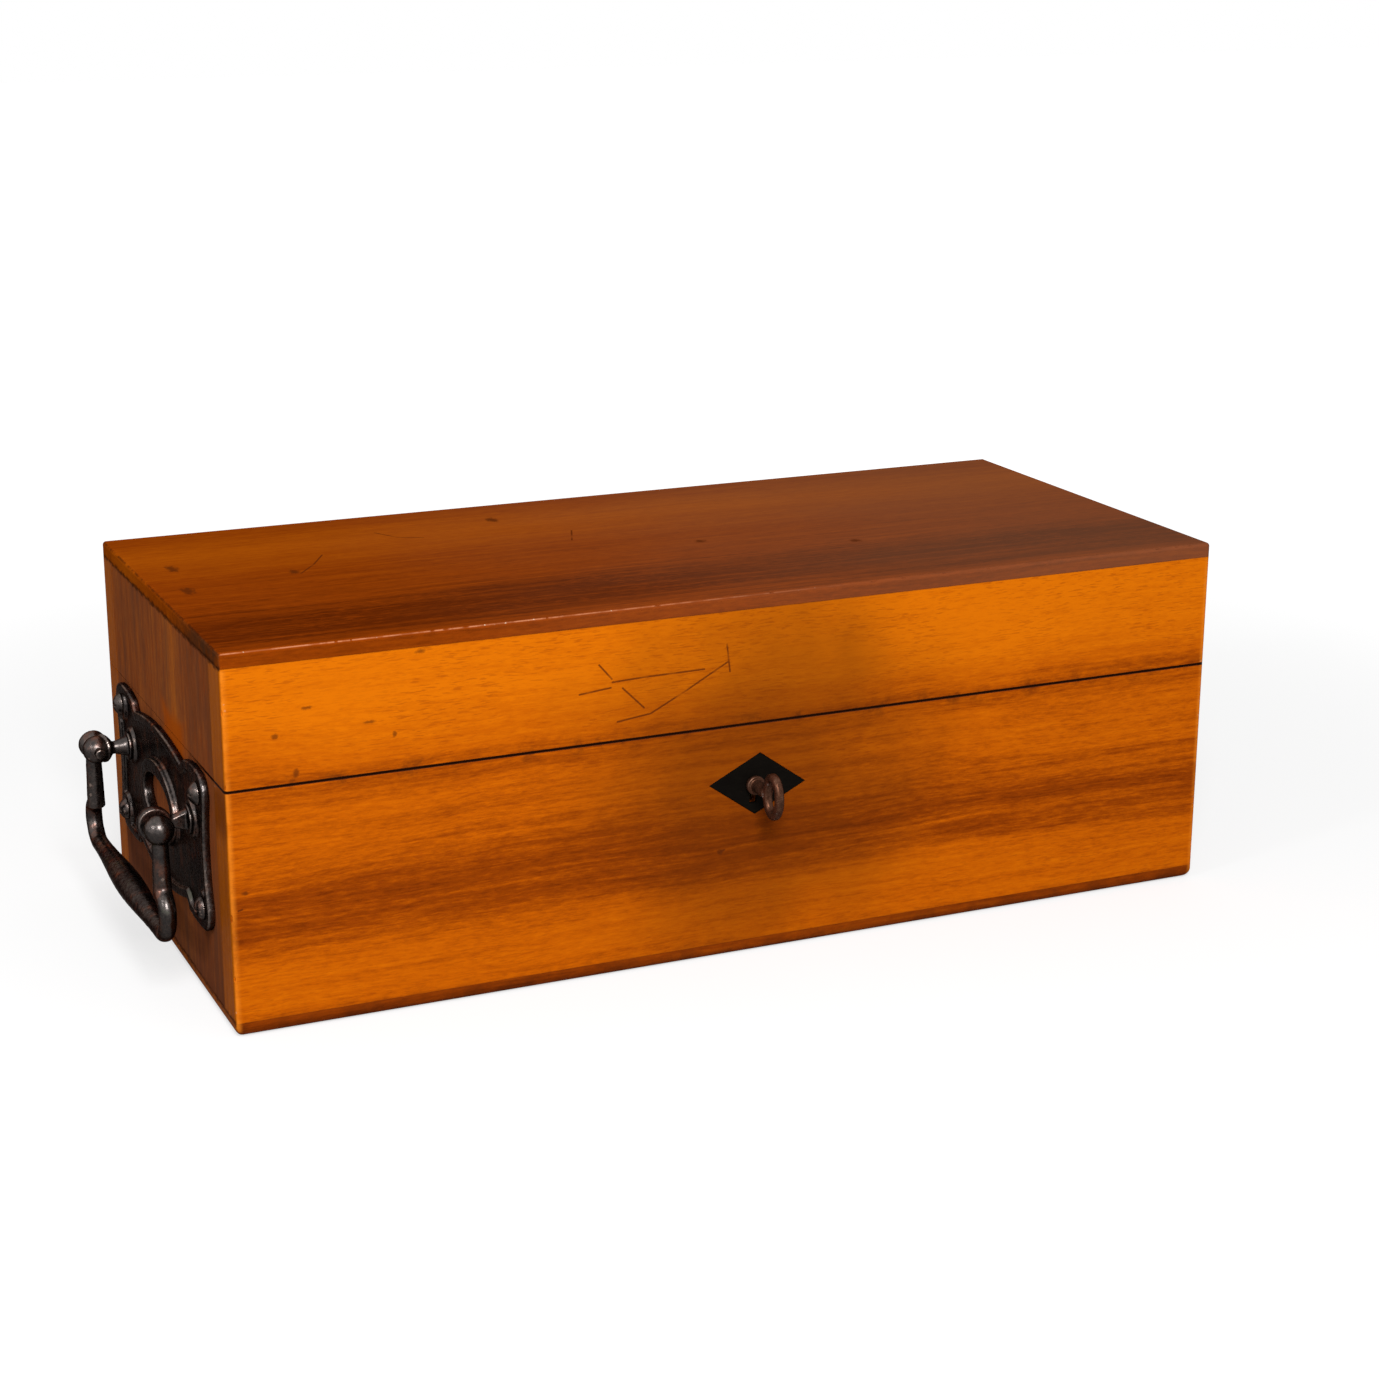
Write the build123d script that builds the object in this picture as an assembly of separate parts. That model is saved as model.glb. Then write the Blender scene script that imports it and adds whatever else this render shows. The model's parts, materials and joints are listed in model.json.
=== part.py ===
"""Wooden case for a brass microscope, with a locking lid on two butt hinges and a swan-neck handle.

Millimetres. The origin is the centre of the underside, X runs along the case, Y to the back, Z up.
"""
import math
import os

from build123d import *

# Case, outside
case_length = 342.9
case_depth = 152.4
case_height = 120.65
seam_height = 78.1          # underside to the split between body and lid
seam_gap = 0.25             # what is left between the two rims when the lid is shut
long_wall = 12.7            # front and back boards
end_wall = 12.7
top_thickness = 4.76
bottom_thickness = 4.76
corner_rounding = 1.2       # upright corners
top_rounding = 1.2
bottom_rounding = 3.2
fit_gap = 0.2               # between an inlaid piece and the wood that it lies in

# Lock, keyhole plate and key
lock_x = 0.5
key_below_seam = 20.3
plate_width = 34.0          # black diamond let into the front
plate_height = 20.4
plate_thickness = 1.6
plate_shift = 1.4           # the diamond's middle is this far to the right of the key's axis
plate_tilt = 4.5            # degrees that it was let in crooked, its right corner low
keyhole_radius = 2.7
slot_width = 2.6
slot_reach = 6.5            # from the key's axis to the foot of the slot
lock_width = 66.0
lock_height = 34.0
lock_sheet = 1.6            # back plate and top strip
lock_depth = 8.4            # how deep the whole lock lies in the front board
cap_width = 52.0
cap_height = 29.4
cap_sheet = 1.2
bolt_travel = 6.0
bolt_thickness = 2.0
bolt_bar_height = 3.8
bolt_play = 0.1
tongue_height = 3.4
tongue_length = 5.6
riser_width = 3.3
bolt_clearance = 0.6        # between the loops and the bolt that passes them
tip_gap = 0.8               # tongues to the loops when the bolt is drawn back
rest_gap = 0.8              # talons to the bolt's rests at the ends of its travel
talon_width = 3.0
talon_gap = 10.8            # opening that the key's bit turns through
talon_reach = 3.5           # from the key's axis up to the talons
link_spacing = 22.0         # between the two loops on the lid
link_length = 3.0
link_leg = 1.0
link_window = 2.6
link_drop = 9.0             # how far the loops hang below the seam
link_bar = 1.2
link_plate_width = 46.0
link_plate_depth = 7.6
link_plate_thickness = 1.4
link_play = 0.6
shank_radius = 2.1
key_collar_radius = 3.15
key_collar_width = 1.6
key_collar_gap = 0.8        # front face to the collar
key_end_gap = 0.2           # key's end to the shoulder of the pin
pin_shoulder = 0.7
pin_setback = 1.0           # back of the black plate to the pin's tip
bit_reach = 6.0
bit_thickness = 1.8
bit_width = 4.0
pipe_radius = 1.28
drill_pin_radius = 1.2
bow_height = 15.3
bow_width = 11.6
bow_wire = 2.9
bow_softness = 0.4          # rounding of the ring's edges, as a share of its thickness
bow_offset = 14.4           # front face to the middle of the key's bow

# Hinges
hinge_length = 38.0
hinge_from_end = 62.0       # case end to the middle of a hinge
leaf_width = 11.0
leaf_thickness = 1.5
knuckle_radius = 2.6
knuckle_count = 5
knuckle_gap = 0.2
knuckle_standoff = 1.2      # back face to the hinge's axis
hinge_pin_radius = 1.1
pin_head_radius = 1.6
pin_head_height = 0.8
running_gap = 0.05

# Handle, on the left end of the body
handle_below_seam = 26.1    # seam to the middle of its plate
ear_spacing_x = 101.0
ear_spacing_z = 37.0
ear_radius = 7.2
ear_inner_turn = 70.0       # degrees round the ear where its edge leaves towards the crown
ear_outer_turn = -20.0      # and towards the side
lobe_top = 25.8             # plate's middle to the highest point between ear and crown
hollow_run = 3.5            # small hollow between crown and lobe: its run along the plate
hollow_rise = 2.7
hollow_bend = 0.12          # how far its middle lies off the straight line, as a share of its run
ear_pad_radius = 5.4
crown_top = 24.5
crown_bottom = 27.2
dip_top = 21.5
dip_bottom = 22.5
crown_half = 30.0
waist_inset = 2.0           # how far the plate's sides draw in between the ears
handle_plate_thickness = 2.4
channel_floor = 1.3
border_width = 3.0
hole_length = 36.0
hole_height = 17.0
rim_width = 4.6
rim_thickness = 3.3
post_spacing = 80.0
post_rise = 7.0             # plate's middle up to the posts
post_reach = 13.3           # wood to the bail's axis
post_pad_radius = 6.0
post_flange_radius = 4.8
post_flange = 1.0
post_neck_radius = 2.1
post_swell_radius = 3.3     # the neck widens to this where it meets the flange
post_swell_height = 4.2
post_tail_radius = 2.0
post_head_radius = 5.4
post_flat = 1.8             # middle of the head to its flat outer side
bail_play = 0.3
bail_pin_radius = 1.6
bail_pin_end = 0.8          # how far the pin's end stands out of the head
bail_radius = 2.75
arm_setback = 1.65          # knuckle's flat side to the arm's inner side
bail_knuckle_radius = 4.7
knuckle_share = 0.95        # part of the knuckle's radius left on its flat side
bail_straight = 17.0
bail_flare = 5.2            # how far the arms step outward lower down
bail_flare_drop = 9.0
bail_corner = 8.0
grip_radius = 4.4
shank_top_radius = 2.45     # the arms widen from under their knuckles
shank_foot_radius = 3.0     # to a foot that stands out where they step aside
shank_drop = 22.0           # bail's axis down to that foot
shank_rounding = 0.5

# Screws
screw_radius = 1.4
screw_head_radius = 2.7
screw_head_height = 1.4
screw_length = 9.0
screw_slot = 0.6
screw_margin = 1.0          # screw head to the nearest edge of its plate
handle_screw_radius = 1.7
handle_screw_head = 3.9
handle_screw_dome = 2.6
handle_screw_length = 10.0

# Fittings that hold the microscope
tube_radius = 16.0
baize = 1.5
cradle_inset = 74.0         # inside of the left end to the cradle
cradle_thickness = 18.0
cradle_rise = 6.0           # from the tube's axis up
foot_radius = 44.5
foot_lift = 3.0             # floor to the lowest point of the microscope's foot
foot_thickness = 13.0
foot_block_thickness = 30.0
foot_block_width = 98.0
foot_block_height = 35.0
foot_play = 1.0
hold_down_width = 46.0
rack_length = 120.0
rack_depth = 28.0
rack_height = 18.0
rack_hole_radii = (11.0, 9.0, 7.0)
rack_floor = 3.0
soft_gap = 0.3

half_length = case_length / 2
half_depth = case_depth / 2
lid_seam = seam_height + seam_gap
lock_z = seam_height - key_below_seam
inside_front = -half_depth + long_wall
inside_back = half_depth - long_wall
inside_left = -half_length + end_wall
inside_right = half_length - end_wall
handle_height = seam_height - handle_below_seam
tube_axis_height = bottom_thickness + foot_lift + foot_radius
cradle_x = inside_left + cradle_inset + cradle_thickness / 2
foot_block_x = inside_right - foot_block_thickness / 2
rack_x = (cradle_x + foot_block_x) / 2


def block(low, high):
    """Box between two opposite corners."""
    middle = [(a + b) / 2 for a, b in zip(low, high)]
    size = [b - a for a, b in zip(low, high)]
    return Pos(*middle) * Box(*size)


def rod(radius, start, length, axis):
    """Cylinder from a start point along one of the axes."""
    direction = {"x": (1, 0, 0), "y": (0, 1, 0), "z": (0, 0, 1)}[axis]
    return Location(Plane(start, z_dir=direction)) * extrude(Circle(radius), length)


def countersunk_screw():
    """Wood screw with its flat head at z = 0, pointing down."""
    head = Pos(0, 0, -screw_head_height / 2) * Cone(screw_radius, screw_head_radius, screw_head_height)
    shank = rod(screw_radius, (0, 0, -screw_length), screw_length, "z")
    point = Pos(0, 0, -screw_length - screw_radius / 2) * Cone(0, screw_radius, screw_radius)
    slot = Box(2 * screw_head_radius, screw_slot, screw_slot)
    return head + shank + point - slot


def screw_seat(play):
    """What is cut away to take a countersunk screw: its own shape with some play."""
    head = Pos(0, 0, -screw_head_height / 2) * Cone(
        screw_radius + play, screw_head_radius + play, screw_head_height
    )
    depth = screw_length + screw_radius
    return head + rod(screw_radius + play, (0, 0, -depth), depth, "z")


def domed_screw():
    """Round-headed wood screw: the dome's seat is at z = 0 and the shank points down."""
    ball_radius = (handle_screw_head ** 2 + handle_screw_dome ** 2) / (2 * handle_screw_dome)
    dome = Pos(0, 0, handle_screw_dome - ball_radius) * Sphere(ball_radius)
    dome &= block((-ball_radius, -ball_radius, 0), (ball_radius, ball_radius, handle_screw_dome))
    shank = rod(handle_screw_radius, (0, 0, -handle_screw_length), handle_screw_length, "z")
    slot = Pos(0, 0, handle_screw_dome) * Box(2 * handle_screw_head, screw_slot, 2 * screw_slot)
    return dome + shank - slot


def group(pieces):
    """Several separate solids kept in one node."""
    return Compound(children=list(pieces))


# Places that several pieces share
lock_back = inside_front                    # inner face of the front board
lock_front = lock_back - lock_depth
lock_sheet_front = lock_back - lock_sheet
link_y = (lock_front + cap_sheet + lock_sheet_front) / 2
hinge_y = half_depth + knuckle_standoff
hinge_z = seam_height + seam_gap / 2
hinge_middles = (-half_length + hinge_from_end, half_length - hinge_from_end)
lock_screw_places = [
    (lock_x + side * (lock_width + cap_width) / 4, seam_height - drop)
    for side in (-1, 1)
    for drop in (lock_sheet + 2 * screw_head_radius, lock_height - screw_head_radius - screw_margin)
]
link_screw_places = [
    lock_x + side * (link_plate_width / 2 - screw_head_radius - screw_margin) for side in (-1, 1)
]
leaf_screw_offsets = [k * hinge_length / 3 for k in (-1, 0, 1)]
leaf_screw_y = half_depth - leaf_width + screw_head_radius + screw_margin
bail_arm_x = post_spacing / 2 + post_flat + bail_play + arm_setback + bail_radius
key_reach = lock_sheet_front - pin_shoulder - key_end_gap
bit_y = (lock_front + cap_sheet + lock_sheet_front) / 2


def keyhole_cut(y_front, y_back, play):
    """Round hole with a slot below it, through everything between two depths."""
    hole = rod(keyhole_radius + play, (lock_x, y_front, lock_z), y_back - y_front, "y")
    slot = block(
        (lock_x - slot_width / 2 - play, y_front, lock_z - slot_reach - play),
        (lock_x + slot_width / 2 + play, y_back, lock_z),
    )
    return hole + slot


def diamond(width, height, thickness):
    """Upright diamond plate whose outer face is the case's front."""
    corners = [(-width / 2, 0), (0, -height / 2), (width / 2, 0), (0, height / 2)]
    face = Rot(0, 0, -plate_tilt) * Polygon(*corners, align=None)
    place = Plane((lock_x + plate_shift, -half_depth, lock_z), x_dir=(1, 0, 0), z_dir=(0, -1, 0))
    return Location(place) * extrude(face, -thickness)


def upright_edges(board):
    """Outer upright corners of a long board."""
    outer = board.edges().filter_by(Axis.Z)
    face_y = max((e.center().Y for e in outer), key=abs)
    return [e for e in outer if abs(e.center().Y - face_y) < 0.01]


def long_board(side, bottom, top):
    """Front (side -1) or back (side +1) board of body or lid, over the full length."""
    outer = side * half_depth
    inner = side * (half_depth - long_wall)
    board = block((-half_length, min(outer, inner), bottom), (half_length, max(outer, inner), top))
    return fillet(upright_edges(board), min(corner_rounding, long_wall / 3))


def end_board(side, bottom, top):
    """Left (side -1) or right (side +1) board, held between front and back."""
    outer = side * half_length
    inner = side * (half_length - end_wall)
    return block((min(outer, inner), inside_front, bottom), (max(outer, inner), inside_back, top))


def flat_board(bottom, top, rounded_z, rounding):
    """Top or bottom board, flush with the outside, with its outer arris eased."""
    board = block((-half_length, -half_depth, bottom), (half_length, half_depth, top))
    board = fillet(board.edges().filter_by(Axis.Z), min(corner_rounding, long_wall / 3))
    arris = [e for e in board.edges() if abs(e.center().Z - rounded_z) < 0.01]
    return fillet(arris, min(rounding, 0.8 * (top - bottom)))


def front_board():
    """Body front, cut for the lock, its top strip, the keyhole and the black diamond."""
    board = long_board(-1, bottom_thickness, seam_height)
    sheet = block(
        (lock_x - lock_width / 2 - fit_gap, lock_sheet_front - fit_gap, seam_height - lock_height - fit_gap),
        (lock_x + lock_width / 2 + fit_gap, lock_back, seam_height),
    )
    strip = block(
        (lock_x - lock_width / 2 - fit_gap, lock_front - fit_gap, seam_height - lock_sheet - fit_gap),
        (lock_x + lock_width / 2 + fit_gap, lock_back, seam_height),
    )
    cap_low = seam_height - lock_sheet - cap_height
    mortise = block(
        (lock_x - cap_width / 2 - fit_gap, lock_front - fit_gap, cap_low - fit_gap),
        (lock_x + cap_width / 2 + fit_gap, lock_back, seam_height),
    )
    board -= sheet
    board -= strip
    board -= mortise
    board -= diamond(plate_width + 2 * fit_gap, plate_height + 2 * fit_gap, plate_thickness)
    board -= keyhole_cut(-half_depth, lock_front, fit_gap)
    for x, z in lock_screw_places:
        board -= Pos(x, lock_back, z) * Rot(-90, 0, 0) * screw_seat(running_gap)
    return board


def hinge_recess(bottom, top):
    """What both hinges take out of a back board between two heights."""
    cuts = []
    for x in hinge_middles:
        half = hinge_length / 2 + fit_gap
        cuts.append(block((x - half, half_depth - leaf_width - fit_gap, bottom), (x + half, half_depth, top)))
        cuts.append(rod(knuckle_radius + 2 * fit_gap, (x - half, hinge_y, hinge_z), 2 * half, "x"))
        half += pin_head_height
        cuts.append(rod(pin_head_radius + fit_gap, (x - half, hinge_y, hinge_z), 2 * half, "x"))
    return cuts


def back_board():
    """Body back, recessed for the hinge leaves and their screws."""
    board = long_board(1, bottom_thickness, seam_height)
    for cut in hinge_recess(seam_height - leaf_thickness, seam_height):
        board -= cut
    for x in hinge_middles:
        for offset in leaf_screw_offsets:
            board -= Pos(x + offset, leaf_screw_y, seam_height) * screw_seat(running_gap)
    return board


def lid_back_board():
    """Lid back, recessed like the body's."""
    board = long_board(1, lid_seam, case_height - top_thickness)
    for cut in hinge_recess(lid_seam, lid_seam + leaf_thickness):
        board -= cut
    for x in hinge_middles:
        for offset in leaf_screw_offsets:
            board -= Pos(x + offset, leaf_screw_y, lid_seam) * Rot(180, 0, 0) * screw_seat(running_gap)
    return board


def lid_front_board():
    """Lid front, recessed in its lower edge for the link plate."""
    board = long_board(-1, lid_seam, case_height - top_thickness)
    half = link_plate_width / 2 + fit_gap
    board -= block(
        (lock_x - half, link_y - link_plate_depth / 2 - fit_gap, lid_seam),
        (lock_x + half, link_y + link_plate_depth / 2 + fit_gap, lid_seam + link_plate_thickness),
    )
    for x in link_screw_places:
        board -= Pos(x, link_y, lid_seam) * Rot(180, 0, 0) * screw_seat(running_gap)
    return board


def left_end_board():
    """Body left end, with holes for the handle's screws."""
    board = end_board(-1, bottom_thickness, seam_height)
    for u, v in ear_places():
        hole = rod(handle_screw_radius + running_gap, (u, v, 0), -handle_screw_length, "z")
        board -= on_left_end(hole)
    return board


def keyhole_plate():
    """Black diamond flush with the front, with the keyhole in it."""
    plate = diamond(plate_width, plate_height, plate_thickness)
    return plate - keyhole_cut(-half_depth, -half_depth + plate_thickness, 0)


def lock_plate():
    """Back plate and top strip of the lock in one piece, with slots, pin hole and the bolt's two rests."""
    sheet = block(
        (lock_x - lock_width / 2, lock_sheet_front, seam_height - lock_height),
        (lock_x + lock_width / 2, lock_back, seam_height),
    )
    strip = block(
        (lock_x - lock_width / 2, lock_front, seam_height - lock_sheet),
        (lock_x + lock_width / 2, lock_back, seam_height),
    )
    plate = sheet + strip
    slot_x = link_length / 2 + link_play
    slot_y = link_depth() / 2 + link_play
    for side in (-1, 1):
        x = lock_x + side * link_spacing / 2
        plate -= block(
            (x - slot_x, link_y - slot_y, seam_height - lock_sheet),
            (x + slot_x, link_y + slot_y, seam_height),
        )
        inner_x = lock_x + side * (talon_gap / 2 + talon_width + bolt_travel / 2 + rest_gap)
        outer_x = lock_x + side * (cap_width / 2 - cap_sheet - fit_gap)
        plate += block(
            (min(inner_x, outer_x), link_y - bolt_thickness / 2, bolt_bar_low() - 2 * bolt_thickness),
            (max(inner_x, outer_x), lock_sheet_front, bolt_bar_low() - bolt_play),
        )
    for x, z in lock_screw_places:
        plate -= Pos(x, lock_back, z) * Rot(-90, 0, 0) * screw_seat(running_gap)
    hole_radius = drill_pin_radius + running_gap
    return plate - rod(hole_radius, (lock_x, lock_sheet_front, lock_z), lock_sheet, "y")


def link_depth():
    """Front to back size of a loop on the lid's link plate."""
    return link_window + 2 * link_leg


def bolt_bar_low():
    """Underside of the bolt's bar: the loops end just above its top."""
    return seam_height - link_drop - bolt_clearance - bolt_bar_height


def lock_cap():
    """Shallow box over the works, open to the back plate and to the top strip."""
    low_z = seam_height - lock_sheet - cap_height
    outer = block(
        (lock_x - cap_width / 2, lock_front, low_z),
        (lock_x + cap_width / 2, lock_sheet_front, seam_height - lock_sheet),
    )
    inner = block(
        (lock_x - cap_width / 2 + cap_sheet, lock_front + cap_sheet, low_z + cap_sheet),
        (lock_x + cap_width / 2 - cap_sheet, lock_sheet_front, seam_height - lock_sheet),
    )
    return outer - inner - keyhole_cut(lock_front, lock_front + cap_sheet, 0)


def lock_bolt():
    """Sliding bolt, drawn back: a bar with two tongues above and two talons below."""
    y0 = link_y - bolt_thickness / 2
    y1 = link_y + bolt_thickness / 2
    low = bolt_bar_low()
    high = low + bolt_bar_height
    tongue_top = seam_height - link_drop + link_bar + bolt_clearance + tongue_height
    tips = [lock_x + side * link_spacing / 2 - link_length / 2 - tip_gap for side in (-1, 1)]
    left = tips[0] - tongue_length - riser_width
    right = lock_x + talon_gap / 2 + talon_width + 2 * bolt_thickness
    bolt = block((left, y0, low), (right, y1, high))
    for tip in tips:
        root = tip - tongue_length
        bolt += block((root - riser_width, y0, low), (root, y1, tongue_top))
        bolt += block((root - riser_width / 2, y0, tongue_top - tongue_height), (tip, y1, tongue_top))
    for side in (-1, 1):
        middle = lock_x - bolt_travel / 2 + side * (talon_gap + talon_width) / 2
        bolt += block(
            (middle - talon_width / 2, y0, lock_z + talon_reach),
            (middle + talon_width / 2, y1, high),
        )
    return bolt


def lock_pin():
    """Pin that the key's pipe turns on, with a shoulder against the back plate."""
    front_y = -half_depth + plate_thickness + pin_setback
    pin = rod(drill_pin_radius, (lock_x, front_y, lock_z), lock_back - front_y, "y")
    shoulder_start = (lock_x, lock_sheet_front - pin_shoulder, lock_z)
    return pin + rod(shank_radius, shoulder_start, pin_shoulder - running_gap, "y")


def lock_screws():
    """Four screws that hold the lock's back plate to the front board."""
    return group(Pos(x, lock_back, z) * Rot(-90, 0, 0) * countersunk_screw() for x, z in lock_screw_places)


def key():
    """Pipe key with an oval ring bow, in the lock with its bit pointing down."""
    bow_y = -half_depth - bow_offset
    ring_path = Plane((lock_x, bow_y, lock_z), x_dir=(0, 1, 0), z_dir=(1, 0, 0))
    outer = Ellipse(bow_width / 2, bow_height / 2)
    inner = Ellipse(bow_width / 2 - bow_wire, bow_height / 2 - bow_wire)
    ring = extrude(outer - inner, bow_wire / 2, both=True)
    ring = fillet(ring.edges(), bow_softness * bow_wire)
    bow = Location(ring_path) * ring
    shank_start = bow_y + bow_width / 2 - bow_wire / 2
    shank = rod(shank_radius, (lock_x, shank_start, lock_z), key_reach - shank_start, "y")
    collar_start = (lock_x, -half_depth - key_collar_gap - key_collar_width, lock_z)
    collar = rod(key_collar_radius, collar_start, key_collar_width, "y")
    bit = block(
        (lock_x - bit_thickness / 2, bit_y - bit_width / 2, lock_z - bit_reach),
        (lock_x + bit_thickness / 2, bit_y + bit_width / 2, lock_z),
    )
    pipe_start = -half_depth + plate_thickness
    pipe = rod(pipe_radius, (lock_x, pipe_start, lock_z), lock_back - pipe_start, "y")
    return bow + shank + fillet(collar.edges(), key_collar_width / 4) + bit - pipe


def link_plate():
    """Plate in the lid's lower edge with the two loops that the bolt shoots through."""
    plate = block(
        (lock_x - link_plate_width / 2, link_y - link_plate_depth / 2, lid_seam),
        (lock_x + link_plate_width / 2, link_y + link_plate_depth / 2, lid_seam + link_plate_thickness),
    )
    for side in (-1, 1):
        x = lock_x + side * link_spacing / 2
        plate += block(
            (x - link_length / 2, link_y - link_depth() / 2, seam_height - link_drop),
            (x + link_length / 2, link_y + link_depth() / 2, lid_seam),
        )
        plate -= block(
            (x - link_length / 2, link_y - link_window / 2, seam_height - link_drop + link_bar),
            (x + link_length / 2, link_y + link_window / 2, seam_height - lock_sheet),
        )
    for x in link_screw_places:
        plate -= Pos(x, link_y, lid_seam) * Rot(180, 0, 0) * screw_seat(running_gap)
    return plate


def link_screws():
    """Two screws that hold the link plate."""
    return group(Pos(x, link_y, lid_seam) * Rot(180, 0, 0) * countersunk_screw() for x in link_screw_places)


def hinge_leaf(middle_x, on_lid):
    """One leaf of a butt hinge with its share of the knuckles, screw holes and pin hole."""
    low = lid_seam if on_lid else seam_height - leaf_thickness
    edge = hinge_y - knuckle_radius - knuckle_gap
    start = middle_x - hinge_length / 2
    leaf = block((start, half_depth - leaf_width, low), (start + hinge_length, edge, low + leaf_thickness))
    pitch = hinge_length / knuckle_count
    for k in range(knuckle_count):
        if (k % 2 == 1) != on_lid:
            continue
        first = start + k * pitch + (knuckle_gap / 2 if k > 0 else 0)
        last = start + (k + 1) * pitch - (knuckle_gap / 2 if k < knuckle_count - 1 else 0)
        leaf += block((first, edge - 1, low), (last, hinge_y, low + leaf_thickness))
        leaf += rod(knuckle_radius, (first, hinge_y, hinge_z), last - first, "x")
    leaf -= rod(hinge_pin_radius + running_gap, (start, hinge_y, hinge_z), hinge_length, "x")
    turn = Rot(180, 0, 0) if on_lid else Rot(0, 0, 0)
    face = lid_seam if on_lid else seam_height
    for offset in leaf_screw_offsets:
        leaf -= Pos(middle_x + offset, leaf_screw_y, face) * turn * screw_seat(running_gap)
    return leaf


def hinge_pin(middle_x):
    """Pin of a hinge with a low head at each end."""
    pin = rod(hinge_pin_radius, (middle_x - hinge_length / 2, hinge_y, hinge_z), hinge_length, "x")
    for side in (-1, 1):
        end = (middle_x + side * hinge_length / 2, hinge_y, hinge_z)
        pin += rod(pin_head_radius, end, side * pin_head_height, "x")
    return pin


def hinge_screws(on_lid):
    """Three screws for each of the two leaves on the body or on the lid."""
    turn = Rot(180, 0, 0) if on_lid else Rot(0, 0, 0)
    face = lid_seam if on_lid else seam_height
    return group(
        Pos(x + offset, leaf_screw_y, face) * turn * countersunk_screw()
        for x in hinge_middles
        for offset in leaf_screw_offsets
    )


def on_left_end(piece):
    """Stand a piece of the handle on the left end: its x to the front, its y up, its z outward."""
    place = Plane((-half_length, 0, handle_height), x_dir=(0, -1, 0), z_dir=(-1, 0, 0))
    return Location(place) * piece


def ear_places():
    """Middles of the plate's four ears."""
    return [(u * ear_spacing_x / 2, v * ear_spacing_z / 2) for u in (-1, 1) for v in (-1, 1)]


def on_circle(middle, radius, degrees):
    """Point on a circle at an angle from the x axis."""
    turn = math.radians(degrees)
    return (middle[0] + radius * math.cos(turn), middle[1] + radius * math.sin(turn))


def handle_outline():
    """Outline of the plate: a crowned middle, a broad lobe at each corner and hollow sides."""
    edges = []
    for v, crown, dip in ((1, crown_top, dip_top), (-1, crown_bottom, dip_bottom)):
        ear = (ear_spacing_x / 2, v * ear_spacing_z / 2)
        inner = on_circle(ear, ear_radius, v * ear_inner_turn)
        outer = on_circle(ear, ear_radius, v * ear_outer_turn)
        tip = on_circle(ear, ear_radius, v * (ear_inner_turn + ear_outer_turn) / 2)
        edges.append(ThreePointArc((-crown_half, v * dip), (0, v * crown), (crown_half, v * dip)))
        lobe_x = crown_half + hollow_run
        bend_x = crown_half + hollow_run * (0.5 + hollow_bend)
        bend_y = v * (dip + hollow_rise * (0.5 - hollow_bend))
        for u in (-1, 1):
            lobe_start = (u * lobe_x, v * (dip + hollow_rise))
            ear_start = (u * inner[0], inner[1])
            ear_end = (u * outer[0], outer[1])
            edges.append(ThreePointArc((u * crown_half, v * dip), (u * bend_x, bend_y), lobe_start))
            edges.append(ThreePointArc(lobe_start, (u * (lobe_x + inner[0]) / 2, v * lobe_top), ear_start))
            edges.append(ThreePointArc(ear_start, (u * tip[0], tip[1]), ear_end))
    side_end = on_circle((ear_spacing_x / 2, ear_spacing_z / 2), ear_radius, ear_outer_turn)
    waist = side_end[0] - waist_inset
    for u in (-1, 1):
        edges.append(
            ThreePointArc((u * side_end[0], side_end[1]), (u * waist, 0), (u * side_end[0], -side_end[1]))
        )
    return make_face(edges)


def handle_backplate():
    """Cast plate with a raised border, a sunk channel and a rimmed oval hole."""
    outline = handle_outline()
    rim = Ellipse(hole_length / 2 + rim_width, hole_height / 2 + rim_width)
    hole = Ellipse(hole_length / 2, hole_height / 2)
    channel = offset(outline, -border_width) - rim
    for u, v in ear_places():
        channel -= Pos(u, v) * Circle(ear_pad_radius)
    for u in (-1, 1):
        channel -= Pos(u * post_spacing / 2, post_rise) * Circle(post_pad_radius)
    plate = extrude(outline, handle_plate_thickness)
    plate -= Pos(0, 0, channel_floor) * extrude(channel, handle_plate_thickness)
    plate += extrude(rim, rim_thickness)
    plate -= extrude(hole, rim_thickness)
    for u, v in ear_places():
        plate -= rod(handle_screw_radius + running_gap, (u, v, 0), handle_plate_thickness, "z")
    for u in (-1, 1):
        hole_start = (u * post_spacing / 2, post_rise, 0)
        plate -= rod(post_tail_radius + running_gap, hole_start, handle_plate_thickness, "z")
    return on_left_end(plate)


def handle_post(side):
    """Turned post riveted to the plate; the bail's pin turns in the cross hole of its head."""
    flange_top = handle_plate_thickness + post_flange
    axis = (side * post_spacing / 2, post_rise)
    post = rod(post_tail_radius, (*axis, fit_gap), post_reach, "z")
    post += rod(post_flange_radius, (*axis, handle_plate_thickness), post_flange, "z")
    post += rod(post_neck_radius, (*axis, flange_top), post_reach - flange_top, "z")
    swell = Cone(post_swell_radius, post_neck_radius, post_swell_height)
    post += Pos(*axis, flange_top + post_swell_height / 2) * swell
    post += Pos(*axis, post_reach) * Sphere(post_head_radius)
    flat = side * (post_spacing / 2 + post_flat)
    beyond = side * (post_spacing / 2 + 2 * post_head_radius)
    size = 2 * post_head_radius
    post -= block(
        (min(flat, beyond), post_rise - size, flange_top),
        (max(flat, beyond), post_rise + size, post_reach + size),
    )
    bore_start = (side * (post_spacing / 2) - size, post_rise, post_reach)
    return on_left_end(post - rod(bail_pin_radius + running_gap, bore_start, 2 * size, "x"))


def handle_screws():
    """Four round-headed screws through the plate's ears."""
    return group(on_left_end(Pos(u, v, handle_plate_thickness) * domed_screw()) for u, v in ear_places())


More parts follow.
